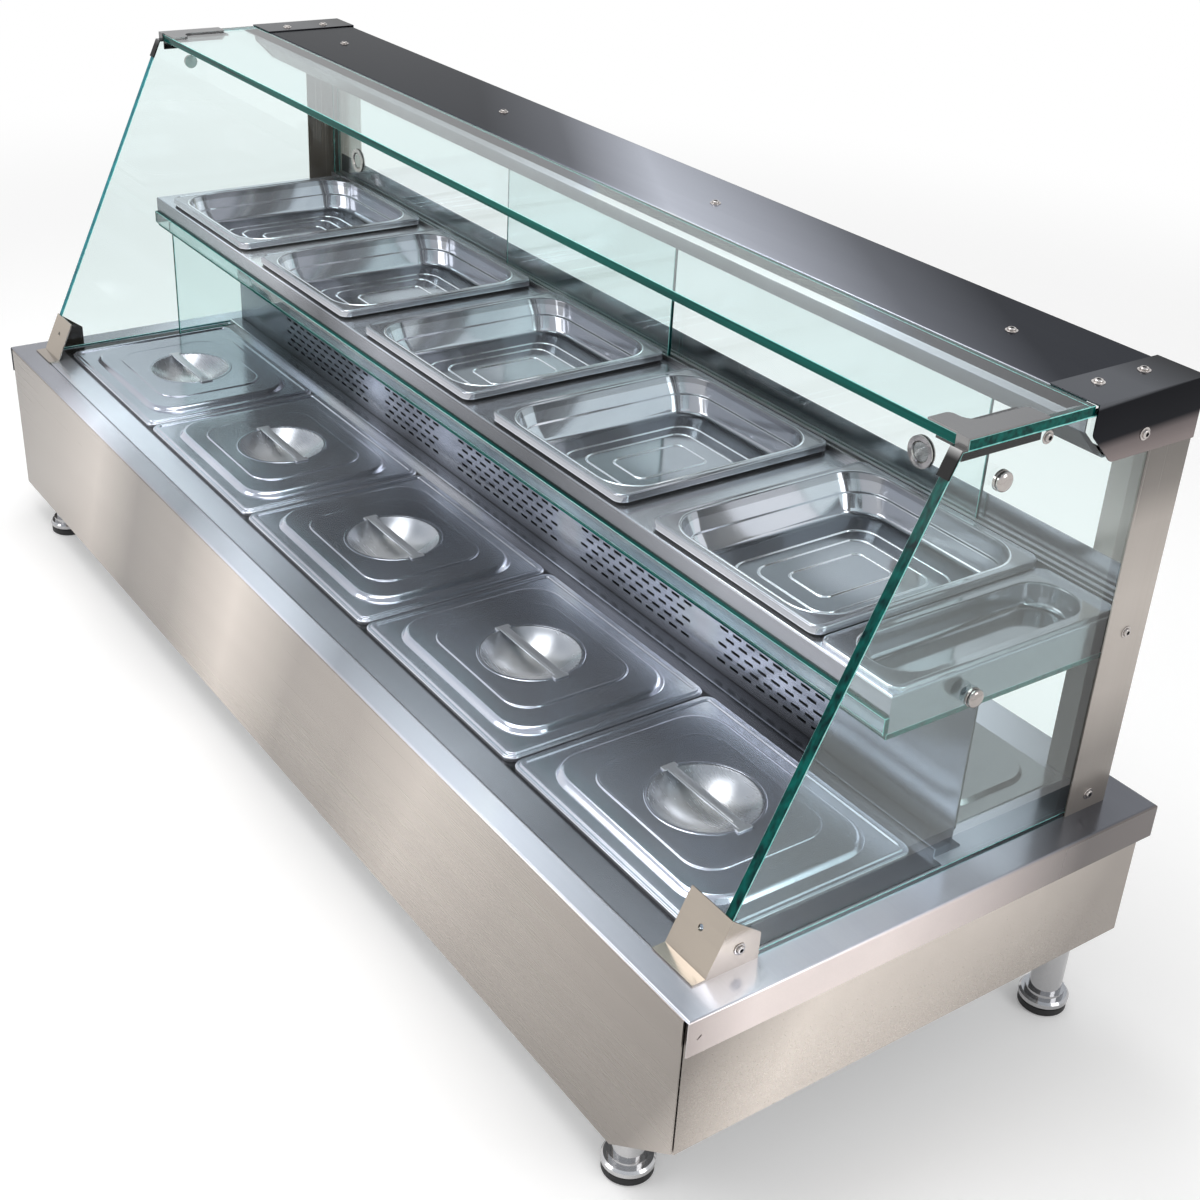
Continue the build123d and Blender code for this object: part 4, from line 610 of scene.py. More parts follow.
# Painted shade in a band across the back of the shelf pans.
PAN_BACK_SHADE = LightBands(BACKWARDS, 0.19, 0.24, ((0.10, 1.0), (0.30, 0.58), (0.72, 0.58), (0.86, 1.0)))
# Painted highlight in each lid's bowl: bright in the middle, darker towards its rim.
BOWL_PAINTED_HIGHLIGHT = PaintedPanReflection(tone(176, 180, 186), tone(253, 254, 255), first=-0.658, pitch=0.329, middle=-0.106,
                      patch=(-0.003, -0.004), reach=(0.046, 0.046), below=(0.0, 0.1))
# Painted reflection bands running diagonally across the canopy.
CANOPY_REFLECTION_BANDS = LightBands((1.0, 1.8, 0.0), -0.7, 1.3,
                     ((0.0, 0.18), (0.25, 0.24), (0.38, 0.24), (0.48, 0.60), (0.58, 2.00), (0.66, 1.40),
                      (0.78, 0.50), (0.88, 0.18)))
# Painted light on the canopy: its skirt and sides brighter than its top.
CANOPY_SKIRT_LIGHT = LightBands(UPWARDS, 0.70, 0.7645, ((0.0, 2.4), (0.95, 2.4), (0.99, 1.0)))
# Painted reflection on the end caps: warm low down, near black above, lighter at the top edge.
CHEEK_REFLECTION_BANDS = LightBands((0.0, -0.04, 1.0), 0.697, 0.759,
                    ((0.0, (0.92, 0.75, 0.66)), (0.26, (0.60, 0.49, 0.44)), (0.41, (0.05, 0.05, 0.055)),
                     (0.93, (0.03, 0.03, 0.035)), (0.98, 0.38)))
# Painted light and shade on the posts, changing up each post.
POST_LIGHT_AND_SHADE = LightBands((1.0, 0.0, 1.0), -0.58, 1.57,
                   ((0.0, 0.50), (0.036, 0.50), (0.073, 0.86), (0.110, 1.0), (0.147, 1.25), (0.194, 1.25),
                    (0.806, 0.50), (0.839, 0.44), (0.875, 0.82), (0.924, 0.96), (0.962, 0.80),
                    (0.979, 0.42), (0.994, 0.32)))
# Painted light and shade on the brackets: warm low down, near black on the legs, lighter on the top plates.
BRACKET_LIGHT_AND_SHADE = LightBands(UPWARDS, 0.29, 0.77,
                      ((0.0, (0.80, 0.71, 0.61)), (0.2, (0.84, 0.75, 0.65)), (0.5, 0.012), (0.955, 0.012),
                       (0.965, 0.14), (0.98, 0.44)))
# Finishes by the record's slot; the layers on the steels are painted reflection, highlight and shade.
FINISHES: Dict[str, Finish] = {
    "deck_steel": BrushedSteel(tone(241, 242, 251), tone(225, 227, 238), Grain.ALONG_X, roughness=0.20,
                               spread=0.08, depth=0.03, metal=0.65, layers=(DECK_REFLECTION_BANDS, FLANGE_WARM_REFLECTION)),
    "rail_steel": BrushedSteel(tone(236, 240, 250), tone(218, 223, 235), Grain.ALONG_X, roughness=0.22,
                               spread=0.08, depth=0.02, layers=(RISER_REFLECTION_BANDS, RISER_SHADE)),
    "panel_steel": BrushedSteel(tone(208, 199, 191), tone(194, 185, 177), Grain.ALONG_X, roughness=0.26,
                                spread=0.10, depth=0.02, layers=(APRON_REFLECTION_BANDS,)),
    "inner_steel": BrushedSteel(tone(176, 178, 180), tone(146, 148, 150), Grain.ALONG_X, roughness=0.40),
    "pan_steel": PressedSteel(tone(224, 227, 234), tone(204, 208, 216), roughness=0.10, wave=0.05,
                              metal=0.75, layers=(PAN_FLOOR_REFLECTION, PAN_BACK_SHADE, PAN_RIM_DARK_REFLECTION)),
    "lid_steel": PressedSteel(tone(198, 202, 212), tone(180, 184, 194), roughness=0.17, wave=0.03,
                              metal=0.85, layers=(LID_REFLECTION_BANDS,)),
    "canopy_steel": BrushedSteel(tone(182, 185, 194), tone(170, 173, 182), Grain.ALONG_X, roughness=0.18,
                                 spread=0.08, depth=0.02, metal=1.0,
                                 layers=(CANOPY_REFLECTION_BANDS, CANOPY_SKIRT_LIGHT), grazing=0.42),
    "cap_steel": PressedSteel(tone(152, 155, 162), tone(138, 141, 148), roughness=0.10, wave=0.02,
                              layers=(CHEEK_REFLECTION_BANDS,), grazing=0.6),
    "post_steel": BrushedSteel(tone(208, 200, 192), tone(190, 181, 173), Grain.ALONG_Z, roughness=0.26,
                               metal=0.35, layers=(POST_LIGHT_AND_SHADE,)),
    "bracket_steel": PressedSteel(tone(206, 205, 204), tone(180, 180, 181), roughness=0.14,
                                  layers=(BRACKET_LIGHT_AND_SHADE,), grazing=0.8),
    "shelf_steel": BrushedSteel(tone(214, 217, 224), tone(196, 199, 206), Grain.ALONG_X, roughness=0.24,
                                spread=0.06, depth=0.006, layers=(SHELF_REFLECTION_BANDS, SHELF_LIGHT_AND_SHADE)),
    "leg_chrome": PressedSteel(tone(206, 205, 205), tone(172, 172, 174), roughness=0.12),
    "foot_rubber": Moulded(tone(34, 34, 35), tone(18, 18, 19), roughness=0.62),
    "case_glass": ClearGlass(tone(238, 249, 248), tone(231, 246, 245)),
    "shelf_pane": ClearGlass(tone(238, 250, 249), tone(232, 247, 246)),
    "door_pane": ClearGlass(tone(242, 251, 250), tone(236, 248, 247)),
    "bright_metal": PressedSteel(tone(204, 198, 194), tone(160, 153, 149), roughness=0.08),
    "track_metal": BrushedSteel(tone(186, 187, 188), tone(152, 153, 155), Grain.ALONG_X, roughness=0.34),
    "heater_metal": BrushedSteel(tone(140, 134, 128), tone(96, 90, 84), Grain.ALONG_X, roughness=0.45),
    "valve_brass": PressedSteel(tone(214, 186, 120), tone(176, 146, 84), roughness=0.24),
    "lever_paint": Moulded(tone(88, 90, 94), tone(66, 68, 72), roughness=0.40),
    "lamp_paint": Moulded(tone(238, 238, 236), tone(228, 228, 226), roughness=0.45, lumps=300.0,
                          depth=0.05),
    "lamp_opal": Moulded(tone(246, 246, 243), tone(238, 238, 234), roughness=0.30, lumps=300.0,
                         depth=0.03),
    "control_plastic": Moulded(tone(46, 46, 48), tone(30, 30, 32), roughness=0.46),
    "rocker_plastic": Moulded(tone(40, 40, 41), tone(26, 26, 27), roughness=0.28),
    "pilot_amber": Moulded(tone(236, 150, 40), tone(214, 118, 24), roughness=0.22),
}
# Finishes of single nodes; the layers on the well top and ledge rail are painted reflection and shade.
OWN_FINISHES: Dict[str, Finish] = {
    "well_top": BrushedSteel(tone(236, 239, 248), tone(220, 223, 234), Grain.ALONG_X, roughness=0.22,
                             spread=0.08, depth=0.03, metal=0.75, layers=(WELL_REFLECTION_BANDS, WELL_SHADE)),
    "ledge_rail": BrushedSteel(tone(236, 240, 250), tone(218, 223, 235), Grain.ALONG_X, roughness=0.22,
                               spread=0.08, depth=0.02, layers=(LEDGE_REFLECTION_BANDS, LEDGE_EDGE_LIGHT_AND_SHADE)),
    "rear_deck_covers": BrushedSteel(tone(152, 155, 156), tone(134, 137, 138), Grain.ALONG_X,
                                     roughness=0.24, spread=0.08, depth=0.02, metal=0.8, grazing=0.6),
}
BOWL = PressedSteel(tone(240, 243, 247), tone(226, 230, 235), roughness=0.27, wave=0.02, metal=0.7,
                    layers=(BOWL_PAINTED_HIGHLIGHT,))
STRAP = PressedSteel(tone(196, 200, 206), tone(180, 184, 190), roughness=0.20, wave=0.0, metal=0.55)
# Painted highlight: brighter, smoother steel on the shelf pans' mouth beads and floor beads.
RIDGE_HIGHLIGHT = PressedSteel(tone(244, 246, 249), tone(230, 234, 239), roughness=0.12, wave=0.0)
TRAY = PressedSteel(tone(200, 204, 210), tone(182, 186, 192), roughness=0.10, wave=0.03, metal=0.85,
                    layers=(TRAY_REFLECTION_BANDS,))
EDGE_X = GlassEdge(tone(0, 52, 50), tone(0, 104, 94), Grain.ALONG_X)
EDGE_Z = GlassEdge(tone(0, 30, 34), tone(0, 92, 84), Grain.ALONG_Z)
# Painted light: a lighter copy of the edge colour, worn by the left end pane only.
EDGE_LEFT_LIT = GlassEdge(tone(0, 92, 104), tone(14, 138, 146), Grain.ALONG_Z)
# Painted highlight: a bright opaque colour on the panes' narrow bevelled arrises.
ARRIS_HIGHLIGHT = GlassEdge(tone(110, 205, 198), tone(186, 238, 233), Grain.ALONG_X)
# Painted shade: near-black lining of the duct behind the riser slots.
DUCT_SHADE = Moulded(tone(44, 46, 50), tone(24, 25, 28), roughness=0.6, lumps=300.0, depth=0.1)
# Painted shade inside the screws' hexagon sockets and in the knobs' undercut ring.
SOCKET_SHADE = Moulded(tone(46, 47, 50), tone(26, 27, 30), roughness=0.5)
# Painted shadow: near-black band under the shelf pans' rims, standing in for the shadow gap above the
# shelf.
RIM_SHADOW_BAND = Moulded(tone(26, 26, 28), tone(14, 14, 15), roughness=0.6)
MARK = Moulded(tone(238, 238, 234), tone(226, 226, 222), roughness=0.5)


class Coat(IntEnum):
    """Place of a material among the slots of a piece."""

    OWN = 0
    SECOND = 1
    THIRD = 2


class Wardrobe:
    """Materials made once and shared by all pieces."""

    def __init__(self) -> None:
        """Starts with no material."""
        self.made: Dict[Finish, bpy.types.Material] = {}

    def of(self, finish: Finish, name: str) -> bpy.types.Material:
        """Material of a finish.

        Args:
            finish: Finish that is wanted.
            name: Name it gets when it is first made.

        Returns:
            The shared material.
        """
        if finish not in self.made:
            self.made[finish] = finish.material(name)
        return self.made[finish]

    def slot(self, slot: str) -> bpy.types.Material:
        """Material of one of the record's slots."""
        return self.of(FINISHES[slot], slot + "_finish")


# Straight side below which an outline is round-ended, and inset of an upright run, in millimetres.
LEAST_SIDE = 1.0
LEAST_INSET = 0.01
# Headings and the angle that a pressed sheet is smooth up to, in degrees.
LEVEL = 0.0
RISING = 90.0
FALLING = -90.0
PRESSED_SMOOTH = 60.0


@dataclass
class Outline:
    """Rounded rectangle, circle or regular polygon in plan, in millimetres.

    It has four corners with an arc of chords each. A polygon has sides, and the corner is its radius.
    """

    length: float
    width: float
    corner: float
    centre: Pair = (0.0, 0.0)
    arc: int = 8
    sides: int = 0

    @classmethod
    def disc(cls, radius: float, arc: int = 8, centre: Pair = (0.0, 0.0)) -> "Outline":
        """Circle with as many points as four corners of that arc have."""
        return cls(2 * radius, 2 * radius, radius, centre, arc)

    def face(self, mesh: bmesh.types.BMesh, height: float) -> bmesh.types.BMFace:
        """Draws the outline as one face that looks up.

        Args:
            mesh: Mesh that gets the face.
            height: Height of the face in millimetres.

        Returns:
            The new face.
        """
        place = Vector((self.centre[0], self.centre[1], height)) * MM
        if self.sides:
            made = bmesh.ops.create_circle(mesh, cap_ends=True, radius=self.corner * MM,
                                           segments=self.sides)
            bmesh.ops.translate(mesh, vec=place, verts=made["verts"])
            return made["verts"][0].link_faces[0]
        if min(self.length, self.width) - 2 * self.corner < LEAST_SIDE:
            return self.round_ended(mesh, place)
        made = bmesh.ops.create_grid(mesh, x_segments=1, y_segments=1, size=0.5)
        bmesh.ops.scale(mesh, vec=(self.length * MM, self.width * MM, 1.0), verts=made["verts"])
        bmesh.ops.translate(mesh, vec=place, verts=made["verts"])
        known = set(mesh.faces)
        seed = made["verts"][0].link_faces[0]
        bmesh.ops.bevel(mesh, geom=made["verts"], offset=self.corner * MM, offset_type="OFFSET",
                        affect="VERTICES", segments=self.arc, profile=0.5, material=-1)
        if seed.is_valid:
            return seed
        return next(face for face in mesh.faces if face not in known)

    def round_ended(self, mesh: bmesh.types.BMesh, place: Vector) -> bmesh.types.BMFace:
        """Draws a circle and pulls its halves apart to the outline's length.

        Args:
            mesh: Mesh that gets the face.
            place: Middle of the face in metres.

        Returns:
            The new face.
        """
        count = 4 * (self.arc + 1)
        turn = Matrix.Rotation(math.pi / count, 3, "Z")
        radius = min(self.length, self.width) / 2 * MM
        made = bmesh.ops.create_circle(mesh, cap_ends=True, radius=radius, segments=count)
        bmesh.ops.rotate(mesh, matrix=turn, verts=made["verts"])
        pull = Vector((self.length / 2 * MM - radius, self.width / 2 * MM - radius, 0.0))
        for sign in (-1, 1):
            half = [vert for vert in made["verts"] if vert.co.dot(pull) * sign > 0]
            bmesh.ops.translate(mesh, vec=pull * sign, verts=half)
        bmesh.ops.translate(mesh, vec=place, verts=made["verts"])
        return made["verts"][0].link_faces[0]


@dataclass(frozen=True)
class Step:
    """Step pressed into a level sheet, up or down a slope, in millimetres and degrees."""

    slope: float
    toe: float
    shoulder: float
    flank: float = 0.0
    chords: Tuple[int, int] = (3, 3)


def closed(mesh: bmesh.types.BMesh) -> bmesh.types.BMesh:
    """Fills the open rims of a mesh and turns its faces outwards.

    Args:
        mesh: Mesh with open rims.

    Returns:
        The same mesh, closed.
    """
    rim = [edge for edge in mesh.edges if edge.is_boundary]
    bmesh.ops.holes_fill(mesh, edges=rim, sides=0)
    bmesh.ops.recalc_face_normals(mesh, faces=mesh.faces[:])
    return mesh


class PressedSheet:
    """Sheet drawn from its outer edge inwards, as a press shapes it.

    The heading is the slope of the next run: 0 goes level towards the middle, 90 goes up and
    -90 goes down.
    """

    def __init__(self, start: Outline, height: float, heading: float) -> None:
        """Lays the outer edge.

        Args:
            start: Outer edge in plan.
            height: Height of that edge in millimetres.
            heading: First slope in degrees.
        """
        self.mesh = bmesh.new()
        self.height = height
        self.heading = heading
        self.face = start.face(self.mesh, height)

    def run(self, distance: float) -> "PressedSheet":
        """Draws the sheet on along its heading.

        Args:
            distance: Length of the run in millimetres.

        Returns:
            The sheet, for the next step.
        """
        slope = math.radians(self.heading)
        inwards = max(distance * math.cos(slope), LEAST_INSET)
        rise = distance * math.sin(slope)
        bmesh.ops.inset_region(self.mesh, faces=[self.face], thickness=inwards * MM,
                               use_even_offset=True, use_boundary=True)
        bmesh.ops.translate(self.mesh, vec=(0, 0, rise * MM), verts=self.face.verts[:])
        self.height += rise
        return self

    def bend(self, radius: float, heading: float, steps: int = 4) -> "PressedSheet":
        """Turns the sheet to another heading along an arc.

        Args:
            radius: Bend radius in millimetres.
            heading: Slope after the bend in degrees.
            steps: Chords of the arc.

        Returns:
            The sheet, for the next step.
        """
        turn = (heading - self.heading) / steps
        chord = 2 * radius * math.sin(math.radians(abs(turn)) / 2)
        start = self.heading
        for step in range(steps):
            self.heading = start + turn * (step + 0.5)
            self.run(chord)
        self.heading = heading
        return self

    def aim(self, heading: float) -> "PressedSheet":
        """Sets the heading with a sharp fold."""
        self.heading = heading
        return self

    def step(self, size: Step) -> "PressedSheet":
        """Presses a step and leaves the sheet level.

        Args:
            size: Sizes of the step.

        Returns:
            The sheet, for the next step.
        """
        self.bend(size.toe, size.slope, size.chords[0])
        if size.flank:
            self.run(size.flank)
        return self.bend(size.shoulder, LEVEL, size.chords[1])

    def onto(self, outline: Outline) -> "PressedSheet":
        """Runs the sheet level to another outline.

        Args:
            outline: Outline with as many corners' points as the last one.

        Returns:
            The sheet, for the next step.
        """
        old = self.face.edges[:]
        bmesh.ops.delete(self.mesh, geom=[self.face], context="FACES_ONLY")
        self.face = outline.face(self.mesh, self.height)
        bmesh.ops.bridge_loops(self.mesh, edges=old + self.face.edges[:])
        return self

    def paint(self, index: int) -> "PressedSheet":
        """Gives the faces drawn so far a material number.

        Args:
            index: Number of the material in the piece's slots.

        Returns:
            The sheet, for the next step.
        """
        for face in self.mesh.faces:
            if face is not self.face:
                face.material_index = index
        return self

    def ink(self, index: int) -> "PressedSheet":
        """Gives the open face, and what is drawn from it, a material number."""
        self.face.material_index = index
        return self

    def stand(self, turn: Matrix, place: Vector) -> bmesh.types.BMesh:
        """Closes the sheet's seat, turns it and puts it in its place.

        Args:
            turn: Rotation from looking up.
            place: Middle of the seat in metres.

        Returns:
            The closed mesh.
        """
        closed(self.mesh)
        bmesh.ops.rotate(self.mesh, matrix=turn, verts=self.mesh.verts[:])
        bmesh.ops.translate(self.mesh, vec=place, verts=self.mesh.verts[:])
        return self.mesh


def gathered(meshes: Sequence[bmesh.types.BMesh]) -> bmesh.types.BMesh:
    """Joins meshes into one.

    Args:
        meshes: Meshes to join, freed here.

    Returns:
        The joined mesh.
    """
    whole = bmesh.new()
    for part in meshes:
        data = bpy.data.meshes.new("part")
        part.to_mesh(data)
        part.free()
        whole.from_mesh(data)
        bpy.data.meshes.remove(data)
    return whole


class Workshop:
    """Turns meshes into named pieces of the model."""

    def __init__(self, wardrobe: Wardrobe) -> None:
        """Keeps the materials."""
        self.wardrobe = wardrobe

    def piece(self, mesh: bmesh.types.BMesh, name: str, body: str, slot: str,
              nodes: Sequence[str] = (), extra: Sequence[bpy.types.Material] = (),
              smooth: float = 40.0) -> bpy.types.Object:
        """Makes a piece that rides on a body.

        Args:
            mesh: Finished mesh, freed here.
            name: Name of the piece.
            body: Body that carries it.
            slot: The record's slot of its first material.
            nodes: CAD nodes that it stands for.
            extra: Further materials of the piece.
            smooth: Edges sharper than this angle stay sharp, in degrees.

        Returns:
            The piece.
        """
        for face in mesh.faces:
            face.smooth = True
        data = bpy.data.meshes.new(name)
        mesh.to_mesh(data)
        mesh.free()
        data.set_sharp_from_angle(angle=math.radians(smooth))
        data.materials.append(self.wardrobe.slot(slot))
        for material in extra:
            data.materials.append(material)
        made = bpy.data.objects.new(name, data)
        bpy.context.scene.collection.objects.link(made)
        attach(made, body)
        if nodes:
            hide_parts(*nodes)
        LOG.info("%s rides on %s, %d faces", name, body, len(data.polygons))
        return made

    def wall(self, piece: bpy.types.Object, thickness: float) -> None:
        """Gives a sheet its thickness below and even shading on its flats.

        Args:
            piece: Sheet whose faces look up.
            thickness: Thickness in millimetres.
        """
        solid = piece.modifiers.new("wall", "SOLIDIFY")
        solid.thickness = thickness * MM
        solid.offset = -1.0
        shade = piece.modifiers.new("flats", "WEIGHTED_NORMAL")
        shade.keep_sharp = True

    def pressed(self, sheet: PressedSheet, name: str, node: str, slot: str, wall: float,
                extra: Sequence[bpy.types.Material] = ()) -> bpy.types.Object:
        """Makes a pressed sheet a walled piece that stands for the node it rides on.

        Args:
            sheet: Finished sheet.
            name: Name of the piece.
            node: CAD node, and the body of the same name.
            slot: The record's slot of its first material.
            wall: Thickness of the wall in millimetres.
            extra: Further materials of the piece.

        Returns:
            The piece.
        """
        made = self.piece(sheet.mesh, name, node, slot, [node], extra, PRESSED_SMOOTH)
        self.wall(made, wall)
        return made


@dataclass
class Footprint:
    """Box of a CAD node, in millimetres."""

    low: Vector
    high: Vector

    @classmethod
    def of(cls, node: str) -> "Footprint":
        """Box of a node at rest."""
        low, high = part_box(node)
        return cls(low / MM, high / MM)

    @property
    def middle(self) -> Pair:
        """Middle of the box in plan."""
        return ((self.low.x + self.high.x) / 2, (self.low.y + self.high.y) / 2)

    def outline(self, inset: float, corner: float) -> Outline:
        """Rounded outline inside the box.

        Args:
            inset: How far it lies inside.
            corner: Radius of its corners.

        Returns:
            The outline.
        """
        length = self.high.x - self.low.x - 2 * inset
        width = self.high.y - self.low.y - 2 * inset
        return Outline(length, width, corner, self.middle)


@dataclass
class FrontPans:
    """Five deep pans in the well with pressed lids, in millimetres and degrees."""

    count: int = 5
    wall: float = 0.9
    corner: float = 13.0
    rim: float = 11.0
    rim_side: float = 3.3
    rim_roll: float = 1.6
    rim_flat: float = 5.0
    lip: float = 2.0
    mouth_corner: float = 45.0
    mouth_bend: float = 3.0
    wall_slope: float = -86.0
    foot: float = 12.0
    floor_bend: float = 11.0
    floor_run: float = 12.0
    lid_rise: float = 1.0
    lid_roll: float = 0.9
    lid_flat: float = 2.2
    ridge_up: Step = Step(64.0, 0.8, 0.9, 1.0)
    ridge_top: float = 3.2
    ridge_down: Step = Step(-64.0, 0.9, 0.8, 1.0)
    lid_edge: float = 20.0
    crown_corner: float = 47.0
    crown: Step = Step(50.0, 2.0, 8.0, 3.0, (4, 7))
    plateau: Triple = (205.0, 165.0, 35.0)
    plateau_up: Step = Step(58.0, 0.8, 0.8, 0.7)
    plateau_rim: float = 1.6
    plateau_down: Step = Step(-40.0, 0.8, 0.8, chords=(2, 2))
    bowl: float = 57.5
    ring_gap: float = 6.5
    ring_up: Step = Step(40.0, 0.9, 0.9, chords=(2, 2))
    ring_top: float = 1.0
    ring_down: Step = Step(-40.0, 0.9, 0.9, chords=(2, 2))
    bowl_lip: float = 2.2
    bowl_slope: float = -45.0
    bowl_sphere: float = 78.6
    bowl_floor: float = -3.0
    strap: Triple = (131.0, 12.0, 2.2)
    strap_corner: float = 0.8
    strap_round: float = 0.5
    strap_drop: float = 0.9
    strap_smooth: float = 50.0
    bead: Triple = (99.0, 8.0, 0.9)
    bead_up: Step = Step(40.0, 0.6, 0.6, chords=(2, 2))
    tab: Triple = (8.0, 19.0, 1.2)
    tab_drop: float = 1.0

    def build(self, shop: Workshop) -> None:
        """Builds every pan, lid and strap.

        Args:
            shop: Workshop that makes the pieces.
        """
        for index in range(1, self.count + 1):
            self.pan(shop, f"front_pan_{index}")
            self.lid(shop, index)

    def pan(self, shop: Workshop, node: str) -> None:
        """Builds one pan in its node's place.

        Args:
            shop: Workshop that makes the piece.
            node: CAD node and body of the pan.
        """
        box = Footprint.of(node)
        edge = box.high.z - (self.rim_side + self.rim_roll)
        sheet = PressedSheet(box.outline(0.0, self.corner), edge, RISING)
        sheet.run(self.rim_side).bend(self.rim_roll, LEVEL).run(self.rim_flat)
        sheet.onto(box.outline(self.rim - self.lip, self.mouth_corner + self.lip))
        sheet.bend(self.mouth_bend, self.wall_slope, steps=5)
        sheet.run(sheet.height - box.low.z - self.foot)
        sheet.bend(self.floor_bend, LEVEL, steps=6).run(self.floor_run)
        shop.pressed(sheet, node + "_drawn", node, "pan_steel", self.wall)

    def lid(self, shop: Workshop, index: int) -> None:
        """Builds one lid with its strap.

        Args:
            shop: Workshop that makes the pieces.
            index: Number of the pan.
        """
        node = f"front_lid_{index}"
        box = Footprint.of(node)
        pan_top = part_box(f"front_pan_{index}")[1].z / MM
        edge = pan_top + self.lid_rise - self.lid_roll
        sheet = PressedSheet(box.outline(0.0, self.corner), edge, RISING)
        sheet.bend(self.lid_roll, LEVEL, steps=3).run(self.lid_flat)
        sheet.step(self.ridge_up).run(self.ridge_top).step(self.ridge_down)
        sheet.onto(box.outline(self.lid_edge, self.crown_corner)).step(self.crown)
        sheet.onto(Outline(*self.plateau, box.middle))
        sheet.step(self.plateau_up).run(self.plateau_rim).step(self.plateau_down)
        sheet.onto(Outline.disc(self.bowl + self.ring_gap, centre=box.middle))
        sheet.step(self.ring_up).run(self.ring_top).step(self.ring_down).run(self.ring_top)
        sheet.ink(Coat.SECOND).bend(self.bowl_lip, self.bowl_slope, steps=5)
        sheet.bend(self.bowl_sphere, self.bowl_floor, steps=12)
        # The bowl wears polished steel with a painted highlight in its middle.
        shop.pressed(sheet, node + "_pressed", node, "lid_steel", self.wall,
                     [shop.wardrobe.of(BOWL, "polished_bowl_painted_highlight")])
        self.handle(shop, node, box.middle, box.high.z)

    def handle(self, shop: Workshop, node: str, middle: Pair, top: float) -> None:
        """Builds the strap across the bowl, with a bead along it and a tab at each end.

        Args:
            shop: Workshop that makes the piece.
            node: Body of the lid.
            middle: Middle of the lid in plan.
            top: Top of the strap.
        """
        length, width, thick = self.strap
        between = length - self.tab[0]
        seat = top - thick
        bar = PressedSheet(Outline(between, width, self.strap_corner, middle, arc=2), seat, RISING)
        bar.run(thick - self.strap_drop).bend(self.strap_round, LEVEL, steps=3)
        bar.onto(Outline(*self.bead, middle, arc=2)).step(self.bead_up)
        meshes = [bar.mesh]
        for sign in (-1, 1):
            place = (middle[0] + sign * between / 2, middle[1])
            tab = PressedSheet(Outline(*self.tab, place, arc=3), seat, RISING)
            tab.run(thick - self.tab_drop).bend(self.strap_round, LEVEL, steps=3)
            meshes.append(tab.mesh)
        strap = closed(gathered(meshes))
        for face in strap.faces:
            face.material_index = Coat.SECOND
        finish = [shop.wardrobe.of(STRAP, "strap_steel")]
        shop.piece(strap, node + "_strap", node, "lid_steel", extra=finish, smooth=self.strap_smooth)


